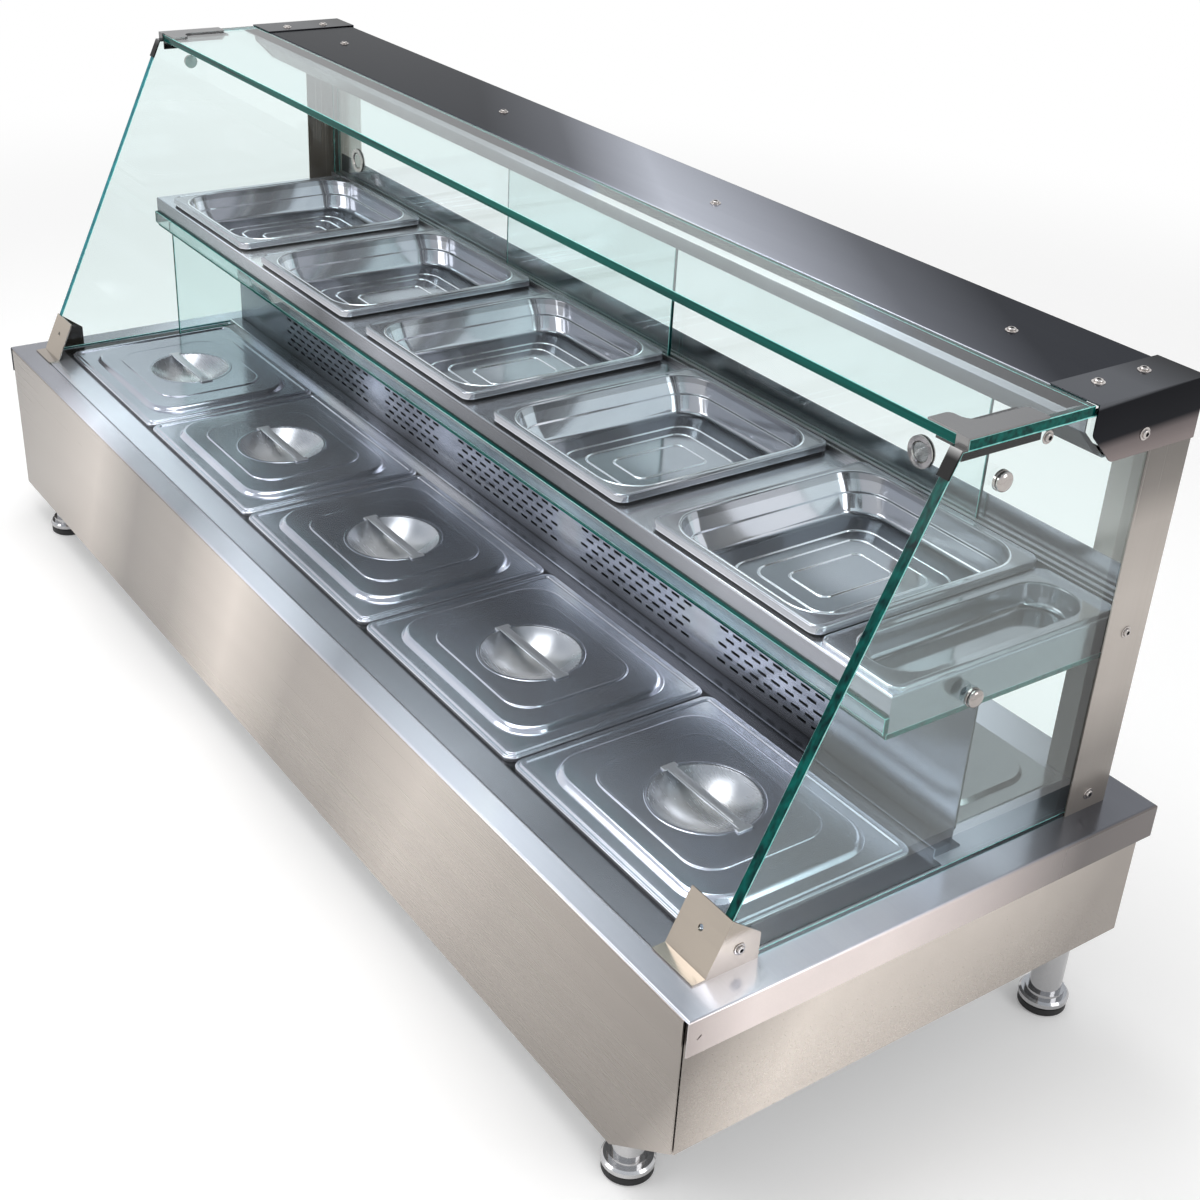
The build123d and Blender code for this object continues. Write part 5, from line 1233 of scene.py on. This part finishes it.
@dataclass
class ShelfPans:
    """Five open pans and a narrow tray on the heated shelf, in millimetres and degrees."""

    count: int = 5
    wall: float = 0.9
    corner: float = 13.0
    shadow_band: float = 2.5
    shadow_band_height: float = 4.0
    skirt: float = 12.9
    rim: float = 11.0
    rim_roll: float = 3.0
    rim_flat: float = 0.8
    rim_dip: Step = Step(-50.0, 1.2, 1.2)
    lip: float = 3.0
    mouth_corner: float = 45.0
    mouth_bead: Step = Step(50.0, 0.8, 0.8)
    mouth_flat: float = 0.4
    mouth_bend: float = 2.2
    wall_slope: float = -80.0
    slant: Pair = (7.0, 5.0)
    draft: float = 3.0
    side_to_corner: float = 6.0
    ledge: float = 24.0
    ledge_bend: float = 2.0
    ledge_slope: float = -25.0
    ledge_run: float = 0.8
    foot: float = 7.44
    floor_bend: float = 9.0
    beads: Tuple[Triple, ...] = ((150.0, 196.0, 28.0), (114.0, 154.0, 20.0), (62.0, 104.0, 12.0))
    bead_toe: float = 0.8
    bead_slope: float = 60.0
    bead_flank: float = 0.5
    bead_crest: float = 0.9
    bead_gap: float = 0.4
    tray_side: float = 2.9
    tray_roll: float = 2.0
    tray_flat: float = 2.0
    tray_dip: Step = Step(-40.0, 1.0, 1.0, chords=(2, 2))
    recess: Triple = (78.0, 266.0, 38.9)
    recess_bend: float = 2.5
    recess_slope: float = -78.0
    recess_foot: float = 6.5
    recess_floor_bend: float = 8.0
    recess_floor_run: float = 4.0

    def build(self, shop: Workshop) -> None:
        """Builds the pans and the tray.

        Args:
            shop: Workshop that makes the pieces.
        """
        for index in range(1, self.count + 1):
            self.pan(shop, f"shelf_pan_{index}")
        self.tray(shop)

    def pan(self, shop: Workshop, node: str) -> None:
        """Builds one open pan with a stepped rim and a pressed floor.

        Args:
            shop: Workshop that makes the piece.
            node: CAD node and body of the pan.
        """
        box = Footprint.of(node)
        shadow_band = box.outline(self.shadow_band, self.corner - self.shadow_band)
        # The first band below the rim skirt is painted near black as the shadow gap under the rim.
        sheet = PressedSheet(shadow_band, box.high.z - self.skirt, RISING)
        sheet.run(self.shadow_band_height).onto(box.outline(0.0, self.corner)).paint(Coat.SECOND)
        sheet.run(self.skirt - self.shadow_band_height - self.rim_roll).bend(self.rim_roll, LEVEL, steps=5)
        sheet.run(self.rim_flat).step(self.rim_dip)
        sheet.onto(box.outline(self.rim - self.lip, self.mouth_corner + self.lip))
        # The mouth bead, like the floor beads below, wears the brighter steel as a painted highlight.
        sheet.ink(Coat.THIRD).step(self.mouth_bead).run(self.mouth_flat)
        sheet.ink(Coat.OWN).bend(self.mouth_bend, self.wall_slope, steps=5)
        floor = box.low.z + self.wall
        middle = self.wall_down(sheet, floor + self.ledge, box.middle, self.slant[0])
        sheet.bend(self.ledge_bend, self.ledge_slope, steps=3).run(self.ledge_run)
        sheet.bend(self.ledge_bend, self.wall_slope, steps=3)
        middle = self.wall_down(sheet, floor + self.foot, middle, self.slant[1])
        sheet.bend(self.floor_bend, LEVEL, steps=6)
        for length, width, corner in self.beads:
            sheet.onto(Outline(length, width, corner, middle)).ink(Coat.THIRD)
            sheet.bend(self.bead_toe, self.bead_slope, steps=3).run(self.bead_flank)
            sheet.bend(self.bead_crest, -self.bead_slope).run(self.bead_flank)
            sheet.bend(self.bead_toe, LEVEL, steps=3).ink(Coat.OWN).run(self.bead_gap)
        extra = [shop.wardrobe.of(RIM_SHADOW_BAND, "pan_rim_shadow"), shop.wardrobe.of(RIDGE_HIGHLIGHT, "pan_ridge_highlight")]
        shop.pressed(sheet, node + "_drawn", node, "pan_steel", self.wall, extra)

    def wall_down(self, sheet: PressedSheet, height: float, middle: Pair, slant: float) -> Pair:
        """Draws the wall down; its left side slopes more than the others.

        Args:
            sheet: Pan drawn so far.
            height: Height at the foot of the wall.
            middle: Middle of the pan's outline in plan.
            slant: How much further the left side comes in.

        Returns:
            The middle of the outline at the foot.
        """
        points = [vert.co / MM for vert in sheet.face.verts]
        length = max(point.x for point in points) - min(point.x for point in points)
        width = max(point.y for point in points) - min(point.y for point in points)
        corner = min(length, width) / self.side_to_corner
        middle = (middle[0] + slant / 2, middle[1])
        sheet.height = height
        sheet.onto(Outline(length - 2 * self.draft - slant, width - 2 * self.draft, corner, middle))
        return middle

    def tray(self, shop: Workshop) -> None:
        """Builds the narrow tray with its round-ended recess.

        Args:
            shop: Workshop that makes the piece.
        """
        node = "narrow_tray"
        box = Footprint.of(node)
        edge = box.high.z - (self.tray_side + self.tray_roll)
        sheet = PressedSheet(box.outline(0.0, self.corner), edge, RISING)
        sheet.run(self.tray_side).bend(self.tray_roll, LEVEL).run(self.tray_flat).step(self.tray_dip)
        sheet.onto(Outline(*self.recess, box.middle)).bend(self.recess_bend, self.recess_slope, steps=5)
        floor = box.low.z + self.wall
        sheet.run(sheet.height - floor - self.recess_foot)
        sheet.bend(self.recess_floor_bend, LEVEL, steps=6).run(self.recess_floor_run)
        piece = shop.pressed(sheet, node + "_drawn", node, "pan_steel", self.wall)
        # The tray wears its own steel with painted reflection bands.
        piece.data.materials[Coat.OWN] = shop.wardrobe.of(TRAY, "narrow_tray_finish")


# Cosine from which a face counts as square on to an axis.
SQUARE_ON = 0.9


class Facing(Enum):
    """Axis that a pane's broad faces look along."""

    X = ACROSS
    Y = BACKWARDS
    Z = UPWARDS


@dataclass
class Pane:
    """One sheet of glass in its node's place."""

    node: str
    body: str
    slot: str
    facing: Facing
    edge: GlassEdge
    arris: float = 0.65
    lean: Optional[Pair] = None
    trim: Tuple[Triple, Triple] = ((0.0, 0.0, 0.0), (0.0, 0.0, 0.0))
    part: str = "pane"
    stands: bool = True
    smooth: float = 20.0

    def build(self, shop: Workshop) -> None:
        """Builds the pane with ground edges and arrises painted bright as highlights.

        Args:
            shop: Workshop that makes the piece.
        """
        low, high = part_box(self.node)
        low, high = low + Vector(self.trim[0]) * MM, high + Vector(self.trim[1]) * MM
        axis = Vector(self.facing.value)
        thick = axis * (high - low).dot(axis)
        mesh = bmesh.new()
        corners = [mesh.verts.new(point) for point in self.corners(low, high - thick)]
        face = mesh.faces.new(corners)
        grown = bmesh.ops.extrude_face_region(mesh, geom=[face])
        moved = [item for item in grown["geom"] if isinstance(item, bmesh.types.BMVert)]
        bmesh.ops.translate(mesh, vec=thick, verts=moved)
        bmesh.ops.recalc_face_normals(mesh, faces=mesh.faces[:])
        for side in mesh.faces:
            side.material_index = Coat.OWN if abs(side.normal.dot(axis)) > SQUARE_ON else Coat.SECOND
        made = bmesh.ops.bevel(mesh, geom=mesh.edges[:], offset=self.arris * MM, offset_type="OFFSET",
                               affect="EDGES", segments=1, profile=0.5, material=-1)
        # The bevelled arrises wear a bright opaque colour as a painted highlight.
        for side in made["faces"]:
            side.material_index = Coat.THIRD
        wardrobe = shop.wardrobe
        extra = [wardrobe.of(self.edge, "ground_glass_edge"), wardrobe.of(ARRIS_HIGHLIGHT, "glass_arris_highlight")]
        nodes = [self.node] if self.stands else []
        name = f"{self.node}_{self.part}"
        piece = shop.piece(mesh, name, self.body, self.slot, nodes, extra, self.smooth)
        piece.visible_shadow = False

    def corners(self, low: Vector, high: Vector) -> List[Triple]:
        """Corners of the pane's first face, in turn.

        Args:
            low: Lowest corner.
            high: Highest corner, less the thickness.

        Returns:
            Four points.
        """
        if self.facing is Facing.X:
            foot, head = (part * MM for part in self.lean) if self.lean else (low.y, low.y)
            return [(low.x, foot, low.z), (low.x, high.y, low.z),
                    (low.x, high.y, high.z), (low.x, head, high.z)]
        if self.facing is Facing.Y:
            return [(low.x, low.y, low.z), (high.x, low.y, low.z),
                    (high.x, low.y, high.z), (low.x, low.y, high.z)]
        return [(low.x, low.y, low.z), (high.x, low.y, low.z),
                (high.x, high.y, low.z), (low.x, high.y, low.z)]


@dataclass
class GlassCase:
    """Every pane of the case, the shelf and the doors, in millimetres."""

    foot: float = -264.0
    head: float = -42.0
    strip_proud: float = 4.5
    strip: Pair = (6.0, 18.0)
    cover: float = 6.0
    shelf_depth: float = 332.5

    def build(self, shop: Workshop) -> None:
        """Builds the panes.

        Args:
            shop: Workshop that makes the pieces.
        """
        lean = (self.foot, self.head)
        level = ((0.0, self.strip_proud, 0.0), (0.0, 0.0, -self.strip[1]))
        front = ((0.0, 0.0, self.cover), (0.0, self.strip[0] - self.strip_proud - self.shelf_depth, 0.0))
        # The left end pane's edges wear a lighter copy of the edge colour, painted light.
        for pane in (Pane("end_glass_left", "cabinet", "case_glass", Facing.X, EDGE_LEFT_LIT, lean=lean),
                     Pane("end_glass_right", "cabinet", "case_glass", Facing.X, EDGE_Z, lean=lean),
                     Pane("top_glass", "cabinet", "case_glass", Facing.Z, EDGE_X),
                     Pane("shelf_glass", "cabinet", "shelf_pane", Facing.Z, EDGE_X, arris=0.25, trim=level),
                     Pane("shelf_glass", "cabinet", "shelf_pane", Facing.Y, EDGE_X, arris=0.35, trim=front,
                          part="strip", stands=False),
                     Pane("shelf_side_pane", "cabinet", "shelf_pane", Facing.X, EDGE_Z, arris=0.5),
                     Pane("door_left", "door_left", "door_pane", Facing.Y, EDGE_Z, arris=0.5),
                     Pane("door_right", "door_right", "door_pane", Facing.Y, EDGE_Z, arris=0.5)):
            pane.build(shop)


@dataclass
class RiserDuct:
    """Air duct behind the slots of the riser, lined near black as painted shade so the slots read dark, in
    millimetres.
    """

    setback: float = 1.8
    depth: float = 12.0
    end_margin: float = 8.0
    edge_margin: float = 16.0
    fold: float = 2.0
    wall: float = 0.8

    def build(self, shop: Workshop) -> None:
        """Builds the duct as a channel that is open towards the riser.

        Args:
            shop: Workshop that makes the piece.
        """
        box = Footprint.of("vent_riser")
        low, high = box.low, box.high
        size = Vector((high.x - low.x - 2 * self.end_margin, self.depth,
                       high.z - low.z - 2 * self.edge_margin))
        deep = low.y + self.setback + self.depth / 2
        middle = Vector(((low.x + high.x) / 2, deep, (low.z + high.z) / 2))
        mesh = bmesh.new()
        made = bmesh.ops.create_cube(mesh, size=1.0)
        bmesh.ops.scale(mesh, vec=size * MM, verts=made["verts"])
        bmesh.ops.translate(mesh, vec=middle * MM, verts=made["verts"])
        front = [side for side in mesh.faces if side.normal.y < -SQUARE_ON]
        bmesh.ops.delete(mesh, geom=front, context="FACES")
        folds = [edge for edge in mesh.edges if not edge.is_boundary]
        bmesh.ops.bevel(mesh, geom=folds, offset=self.fold * MM, offset_type="OFFSET", affect="EDGES",
                        segments=2, profile=0.5, material=-1)
        # Every face wears the near-black lining, painted shade inside the duct.
        for side in mesh.faces:
            side.material_index = Coat.SECOND
        piece = shop.piece(mesh, "riser_duct", "cabinet", "inner_steel",
                           extra=[shop.wardrobe.of(DUCT_SHADE, "duct_shade_lining")])
        solid = piece.modifiers.new("wall", "SOLIDIFY")
        solid.thickness = self.wall * MM
        solid.offset = 1.0


class Looks(Enum):
    """Way that a fastener's head looks, as the turn that brings it there from up."""

    UP = (0.0, 1.0, 0.0, 0.0)
    RIGHT = (90.0, 0.0, 1.0, 0.0)
    LEFT = (-90.0, 0.0, 1.0, 0.0)
    BACK = (-90.0, 1.0, 0.0, 0.0)

    def turn(self) -> Matrix:
        """Rotation of the head."""
        return Matrix.Rotation(math.radians(self.value[0]), 3, Vector(self.value[1:]))


@dataclass
class DialMark:
    """Pale pointer line on the thermostat dial, in millimetres."""

    width: float = 2.2
    length: float = 11.0
    proud: float = 0.2
    round_over: float = 0.1
    from_rim: float = 4.0

    def build(self, shop: Workshop) -> None:
        """Builds the round-ended line on the face of the dial.

        Args:
            shop: Workshop that makes the piece.
        """
        node = "thermostat_dial"
        low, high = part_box(node)
        line = PressedSheet(Outline(self.width, self.length, self.width / 2, arc=4), -self.proud, RISING)
        line.run(2 * self.proud - self.round_over).bend(self.round_over, LEVEL, steps=2)
        down = (self.from_rim + self.length / 2) * MM
        mesh = line.stand(Looks.BACK.turn(), Vector(((low.x + high.x) / 2, high.y, high.z - down)))
        piece = shop.piece(mesh, "dial_mark", node, "control_plastic")
        piece.data.materials[Coat.OWN] = shop.wardrobe.of(MARK, "dial_mark_finish")


@dataclass
class Fasteners:
    """Socket screws of the case and the knobs that clamp its end panes, in millimetres and degrees."""

    roof_y: float = 192.25
    roof_z: float = 764.0
    roof_reach: float = 693.0
    roof_count: int = 4
    cap: Tuple[Triple, ...] = ((827.5, 161.0, 765.5), (827.5, 223.5, 765.5))
    side: Tuple[Triple, ...] = ((865.0, 192.25, 723.5), (863.5, 236.0, 502.0), (863.5, 236.0, 307.5),
                                (864.0, -228.0, 309.0), (862.0, 61.5, 746.5))
    knob: Tuple[Triple, ...] = ((862.0, 10.0, 718.0), (862.0, 26.0, 494.0))
    seat: float = 0.05
    washer: float = 6.5
    washer_side: float = 0.5
    washer_round: float = 0.3
    head: float = 4.5
    head_side: float = 0.9
    head_round: float = 1.4
    socket: float = 2.4
    socket_sides: int = 6
    socket_depth: float = 1.4
    knob_foot: float = 10.0
    foot_side: float = 2.4
    foot_round: float = 0.6
    foot_flat: float = 0.7
    ring_height: float = 0.9
    knob_cap: float = 9.6
    cap_side: float = 1.1
    cap_round: float = 2.5
    cap_shoulder: float = 40.0
    cap_crown: float = 9.0
    cap_top: float = 3.0

    def build(self, shop: Workshop) -> None:
        """Builds the screws as one piece and the knobs as another.

        Args:
            shop: Workshop that makes the pieces.
        """
        step = 2 * self.roof_reach / (self.roof_count - 1)
        screws = [self.screw(Looks.UP, (step * index - self.roof_reach, self.roof_y, self.roof_z))
                  for index in range(self.roof_count)]
        knobs = []
        for x, y, z in self.cap:
            screws += [self.screw(Looks.UP, (x, y, z)), self.screw(Looks.UP, (-x, y, z))]
        for x, y, z in self.side:
            screws += [self.screw(Looks.RIGHT, (x, y, z)), self.screw(Looks.LEFT, (-x, y, z))]
        for x, y, z in self.knob:
            knobs += [self.clamp(Looks.RIGHT, (x, y, z)), self.clamp(Looks.LEFT, (-x, y, z))]
        # Painted shade for the screws' sockets and the knobs' undercut rings.
        dark = [shop.wardrobe.of(SOCKET_SHADE, "socket_shade")]
        shop.piece(gathered(screws), "case_screws_turned", "cabinet", "bright_metal", ["case_screws"], dark)
        shop.piece(gathered(knobs), "glass_knobs_turned", "cabinet", "bright_metal", ["glass_knobs"], dark)

    def screw(self, looks: Looks, place: Triple) -> bmesh.types.BMesh:
        """Turns one button head on a washer, with a hexagon socket painted dark as shade.

        Args:
            looks: Way that the head looks.
            place: Middle of the washer's seat.

        Returns:
            The mesh in its place.
        """
        disc = PressedSheet(Outline.disc(self.washer, arc=5), self.seat, RISING)
        disc.run(self.washer_side).bend(self.washer_round, LEVEL, steps=2)
        disc.onto(Outline.disc(self.head, arc=5)).aim(RISING).run(self.head_side)
        disc.bend(self.head_round, LEVEL, steps=5)
        disc.onto(Outline(0.0, 0.0, self.socket, sides=self.socket_sides)).ink(Coat.SECOND)
        disc.aim(FALLING).run(self.socket_depth)
        return disc.stand(looks.turn(), Vector(place) * MM)

    def clamp(self, looks: Looks, place: Triple) -> bmesh.types.BMesh:
        """Turns one clamp knob: a foot, an undercut ring painted dark as shade, and a crowned cap.

        Args:
            looks: Way that the knob looks.
            place: Middle of the foot's seat.

        Returns:
            The mesh in its place.
        """
        knob = PressedSheet(Outline.disc(self.knob_foot, arc=7), self.seat, RISING)
        knob.run(self.foot_side).bend(self.foot_round, LEVEL, steps=2).run(self.foot_flat).ink(Coat.SECOND)
        knob.aim(RISING).run(self.ring_height).onto(Outline.disc(self.knob_cap, arc=7)).ink(Coat.OWN)
        knob.run(self.cap_side).bend(self.cap_round, self.cap_shoulder)
        knob.bend(self.cap_crown, self.cap_top, steps=5)
        return knob.stand(looks.turn(), Vector(place) * MM)


class Cabinet:
    """CAD nodes that stay as they are and get the finish of their slot."""

    def dress(self, wardrobe: Wardrobe) -> None:
        """Assigns the finishes.

        Args:
            wardrobe: Materials of the model.
        """
        for part in frame["record"]["subparts"]:
            name = part["node"]
            node = frame["nodes"][name]
            own = OWN_FINISHES.get(name)
            material = wardrobe.of(own, name + "_finish") if own else wardrobe.slot(part["material_slot"])
            for place in range(len(node.data.materials)):
                node.data.materials[place] = material
            LOG.info("%s wears %s", name, material.name)


@dataclass(frozen=True)
class SoftBox:
    """Soft area lamp, in metres and watts."""

    name: str
    place: Triple
    target: Triple
    size: Pair
    power: float

    def hang(self) -> None:
        """Hangs the lamp so that it looks at its target."""
        data = bpy.data.lights.new(self.name, "AREA")
        data.shape = "RECTANGLE"
        data.size, data.size_y = self.size
        data.energy = self.power
        lamp = bpy.data.objects.new(self.name, data)
        lamp.location = self.place
        way = Vector(self.target) - Vector(self.place)
        lamp.rotation_euler = way.to_track_quat("-Z", "Y").to_euler()
        bpy.context.scene.collection.objects.link(lamp)


@dataclass
class Studio:
    """Pale floor, white surroundings, soft lamps and the photograph's camera."""

    azimuth: float = 53.65
    elevation: float = 29.38
    roll: float = 3.35
    focal: float = 1697.1
    picture: float = 1200.0
    sensor: float = 36.0
    nearest: float = 0.02
    stand: Triple = (1.7247, -1.0388, 1.3191)
    floor_half: float = 14.0
    floor_tone: float = 0.92
    floor_lift: float = 0.18
    floor_roughness: float = 0.95
    white_from: Pair = (1.6, 3.6)
    ambient: float = 0.55
    sky: Tuple[Tuple[float, Colour], ...] = (
        (0.0, (0.85, 0.85, 0.85, 1.0)), (0.50, (1.0, 1.0, 0.99, 1.0)), (0.70, (0.95, 0.97, 1.0, 1.0)),
        (0.82, (0.82, 0.86, 0.91, 1.0)), (0.90, (0.52, 0.56, 0.61, 1.0)), (1.0, (0.70, 0.74, 0.79, 1.0)))
    boxes: Tuple[SoftBox, ...] = (
        SoftBox("overhead_box", (-0.3, -0.2, 2.7), (0.0, 0.0, 0.3), (2.4, 1.2), 34.0),
        SoftBox("customer_side_box", (-0.6, -2.6, 1.9), (0.0, 0.0, 0.4), (2.0, 1.0), 22.0),
        SoftBox("right_box", (2.8, 0.8, 1.9), (0.0, 0.0, 0.4), (1.2, 1.2), 14.0))

    def build(self) -> None:
        """Builds the floor, the world, the lamps and the camera."""
        self.floor()
        self.world()
        for box in self.boxes:
            box.hang()
        self.camera()
        bpy.context.scene.view_settings.view_transform = "Standard"

    def seen(self, sheet: NodeSheet) -> Shade:
        """Mask of the rays that show the surroundings.

        Args:
            sheet: Sheet that gets the nodes.

        Returns:
            1 for camera, glossy and transmitted rays.
        """
        camera, glossy, through = (sheet.node("ShaderNodeLightPath", {}, {}, f"Is {ray} Ray")
                                   for ray in ("Camera", "Glossy", "Transmission"))
        return camera | glossy | through

    def floor(self) -> None:
        """Lays the floor, which keeps the shadow and is white further out."""
        mesh = bmesh.new()
        bmesh.ops.create_grid(mesh, x_segments=1, y_segments=1, size=self.floor_half)
        data = bpy.data.meshes.new("studio_floor")
        mesh.to_mesh(data)
        mesh.free()
        material, sheet = blank("studio_floor_paint")
        reach = sheet.node("ShaderNodeVectorMath", {"operation": "LENGTH"}, {0: sheet.place()}, "Value")
        far = sheet.eased(reach, *self.white_from)
        paint = sheet.node("ShaderNodeBsdfPrincipled", {},
                           {"Base Color": grey(self.floor_tone), "Roughness": self.floor_roughness,
                            "Specular IOR Level": 0.0, "Emission Color": WHITE,
                            "Emission Strength": self.seen(sheet) * self.floor_lift})
        white = sheet.node("ShaderNodeEmission", {}, {"Color": WHITE, "Strength": 1.0})
        both = sheet.node("ShaderNodeMixShader", {}, {0: far * self.seen(sheet), 1: paint, 2: white})
        sheet.node("ShaderNodeOutputMaterial", {}, {"Surface": both})
        data.materials.append(material)
        floor = bpy.data.objects.new("studio_floor", data)
        bpy.context.scene.collection.objects.link(floor)

    def world(self) -> None:
        """Sets the surroundings: white to the camera, soft steps of grey to polished metal."""
        world = bpy.data.worlds.new("studio")
        world.use_nodes = True
        bpy.context.scene.world = world
        sheet = NodeSheet(world.node_tree)
        way = sheet.node("ShaderNodeTexCoord", {}, {}, "Generated")
        rise = sheet.node("ShaderNodeSeparateXYZ", {}, {0: way}, "Z")
        sky = sheet.node("ShaderNodeValToRGB", {"stops": self.sky}, {0: rise * 0.5 + 0.5}, "Color")
        camera = sheet.node("ShaderNodeLightPath", {}, {}, "Is Camera Ray")
        shown = sheet.mixed(camera, sky, WHITE)
        colour = sheet.mixed(self.seen(sheet), grey(self.ambient), shown)
        light = sheet.node("ShaderNodeBackground", {}, {"Color": colour, "Strength": 1.0})
        sheet.node("ShaderNodeOutputWorld", {}, {"Surface": light})

    def camera(self) -> None:
        """Stands the camera where the photograph was taken from."""
        turn, tilt, roll = (math.radians(part) for part in (self.azimuth, self.elevation, self.roll))
        right = Vector((math.cos(turn), math.sin(turn), 0.0))
        rise = Vector((-math.sin(turn) * math.sin(tilt), math.cos(turn) * math.sin(tilt), math.cos(tilt)))
        across = right * math.cos(roll) + rise * math.sin(roll)
        up = rise * math.cos(roll) - right * math.sin(roll)
        back = across.cross(up)
        data = bpy.data.cameras.new("photo_camera")
        data.sensor_width = self.sensor
        data.lens = data.sensor_width * self.focal / self.picture
        data.clip_start = self.nearest
        camera = bpy.data.objects.new("photo_camera", data)
        columns = Matrix((across, up, back)).transposed().to_4x4()
        camera.matrix_world = Matrix.Translation(self.stand) @ columns
        bpy.context.scene.collection.objects.link(camera)
        bpy.context.scene.camera = camera


def main() -> None:
    """Builds and dresses the sub-assemblies in order."""
    logging.basicConfig(level=logging.INFO, format="%(message)s")
    wardrobe = Wardrobe()
    shop = Workshop(wardrobe)
    Cabinet().dress(wardrobe)
    FrontPans().build(shop)
    ShelfPans().build(shop)
    GlassCase().build(shop)
    RiserDuct().build(shop)
    DialMark().build(shop)
    Fasteners().build(shop)
    Studio().build()


if __name__ == "__main__":
    main()
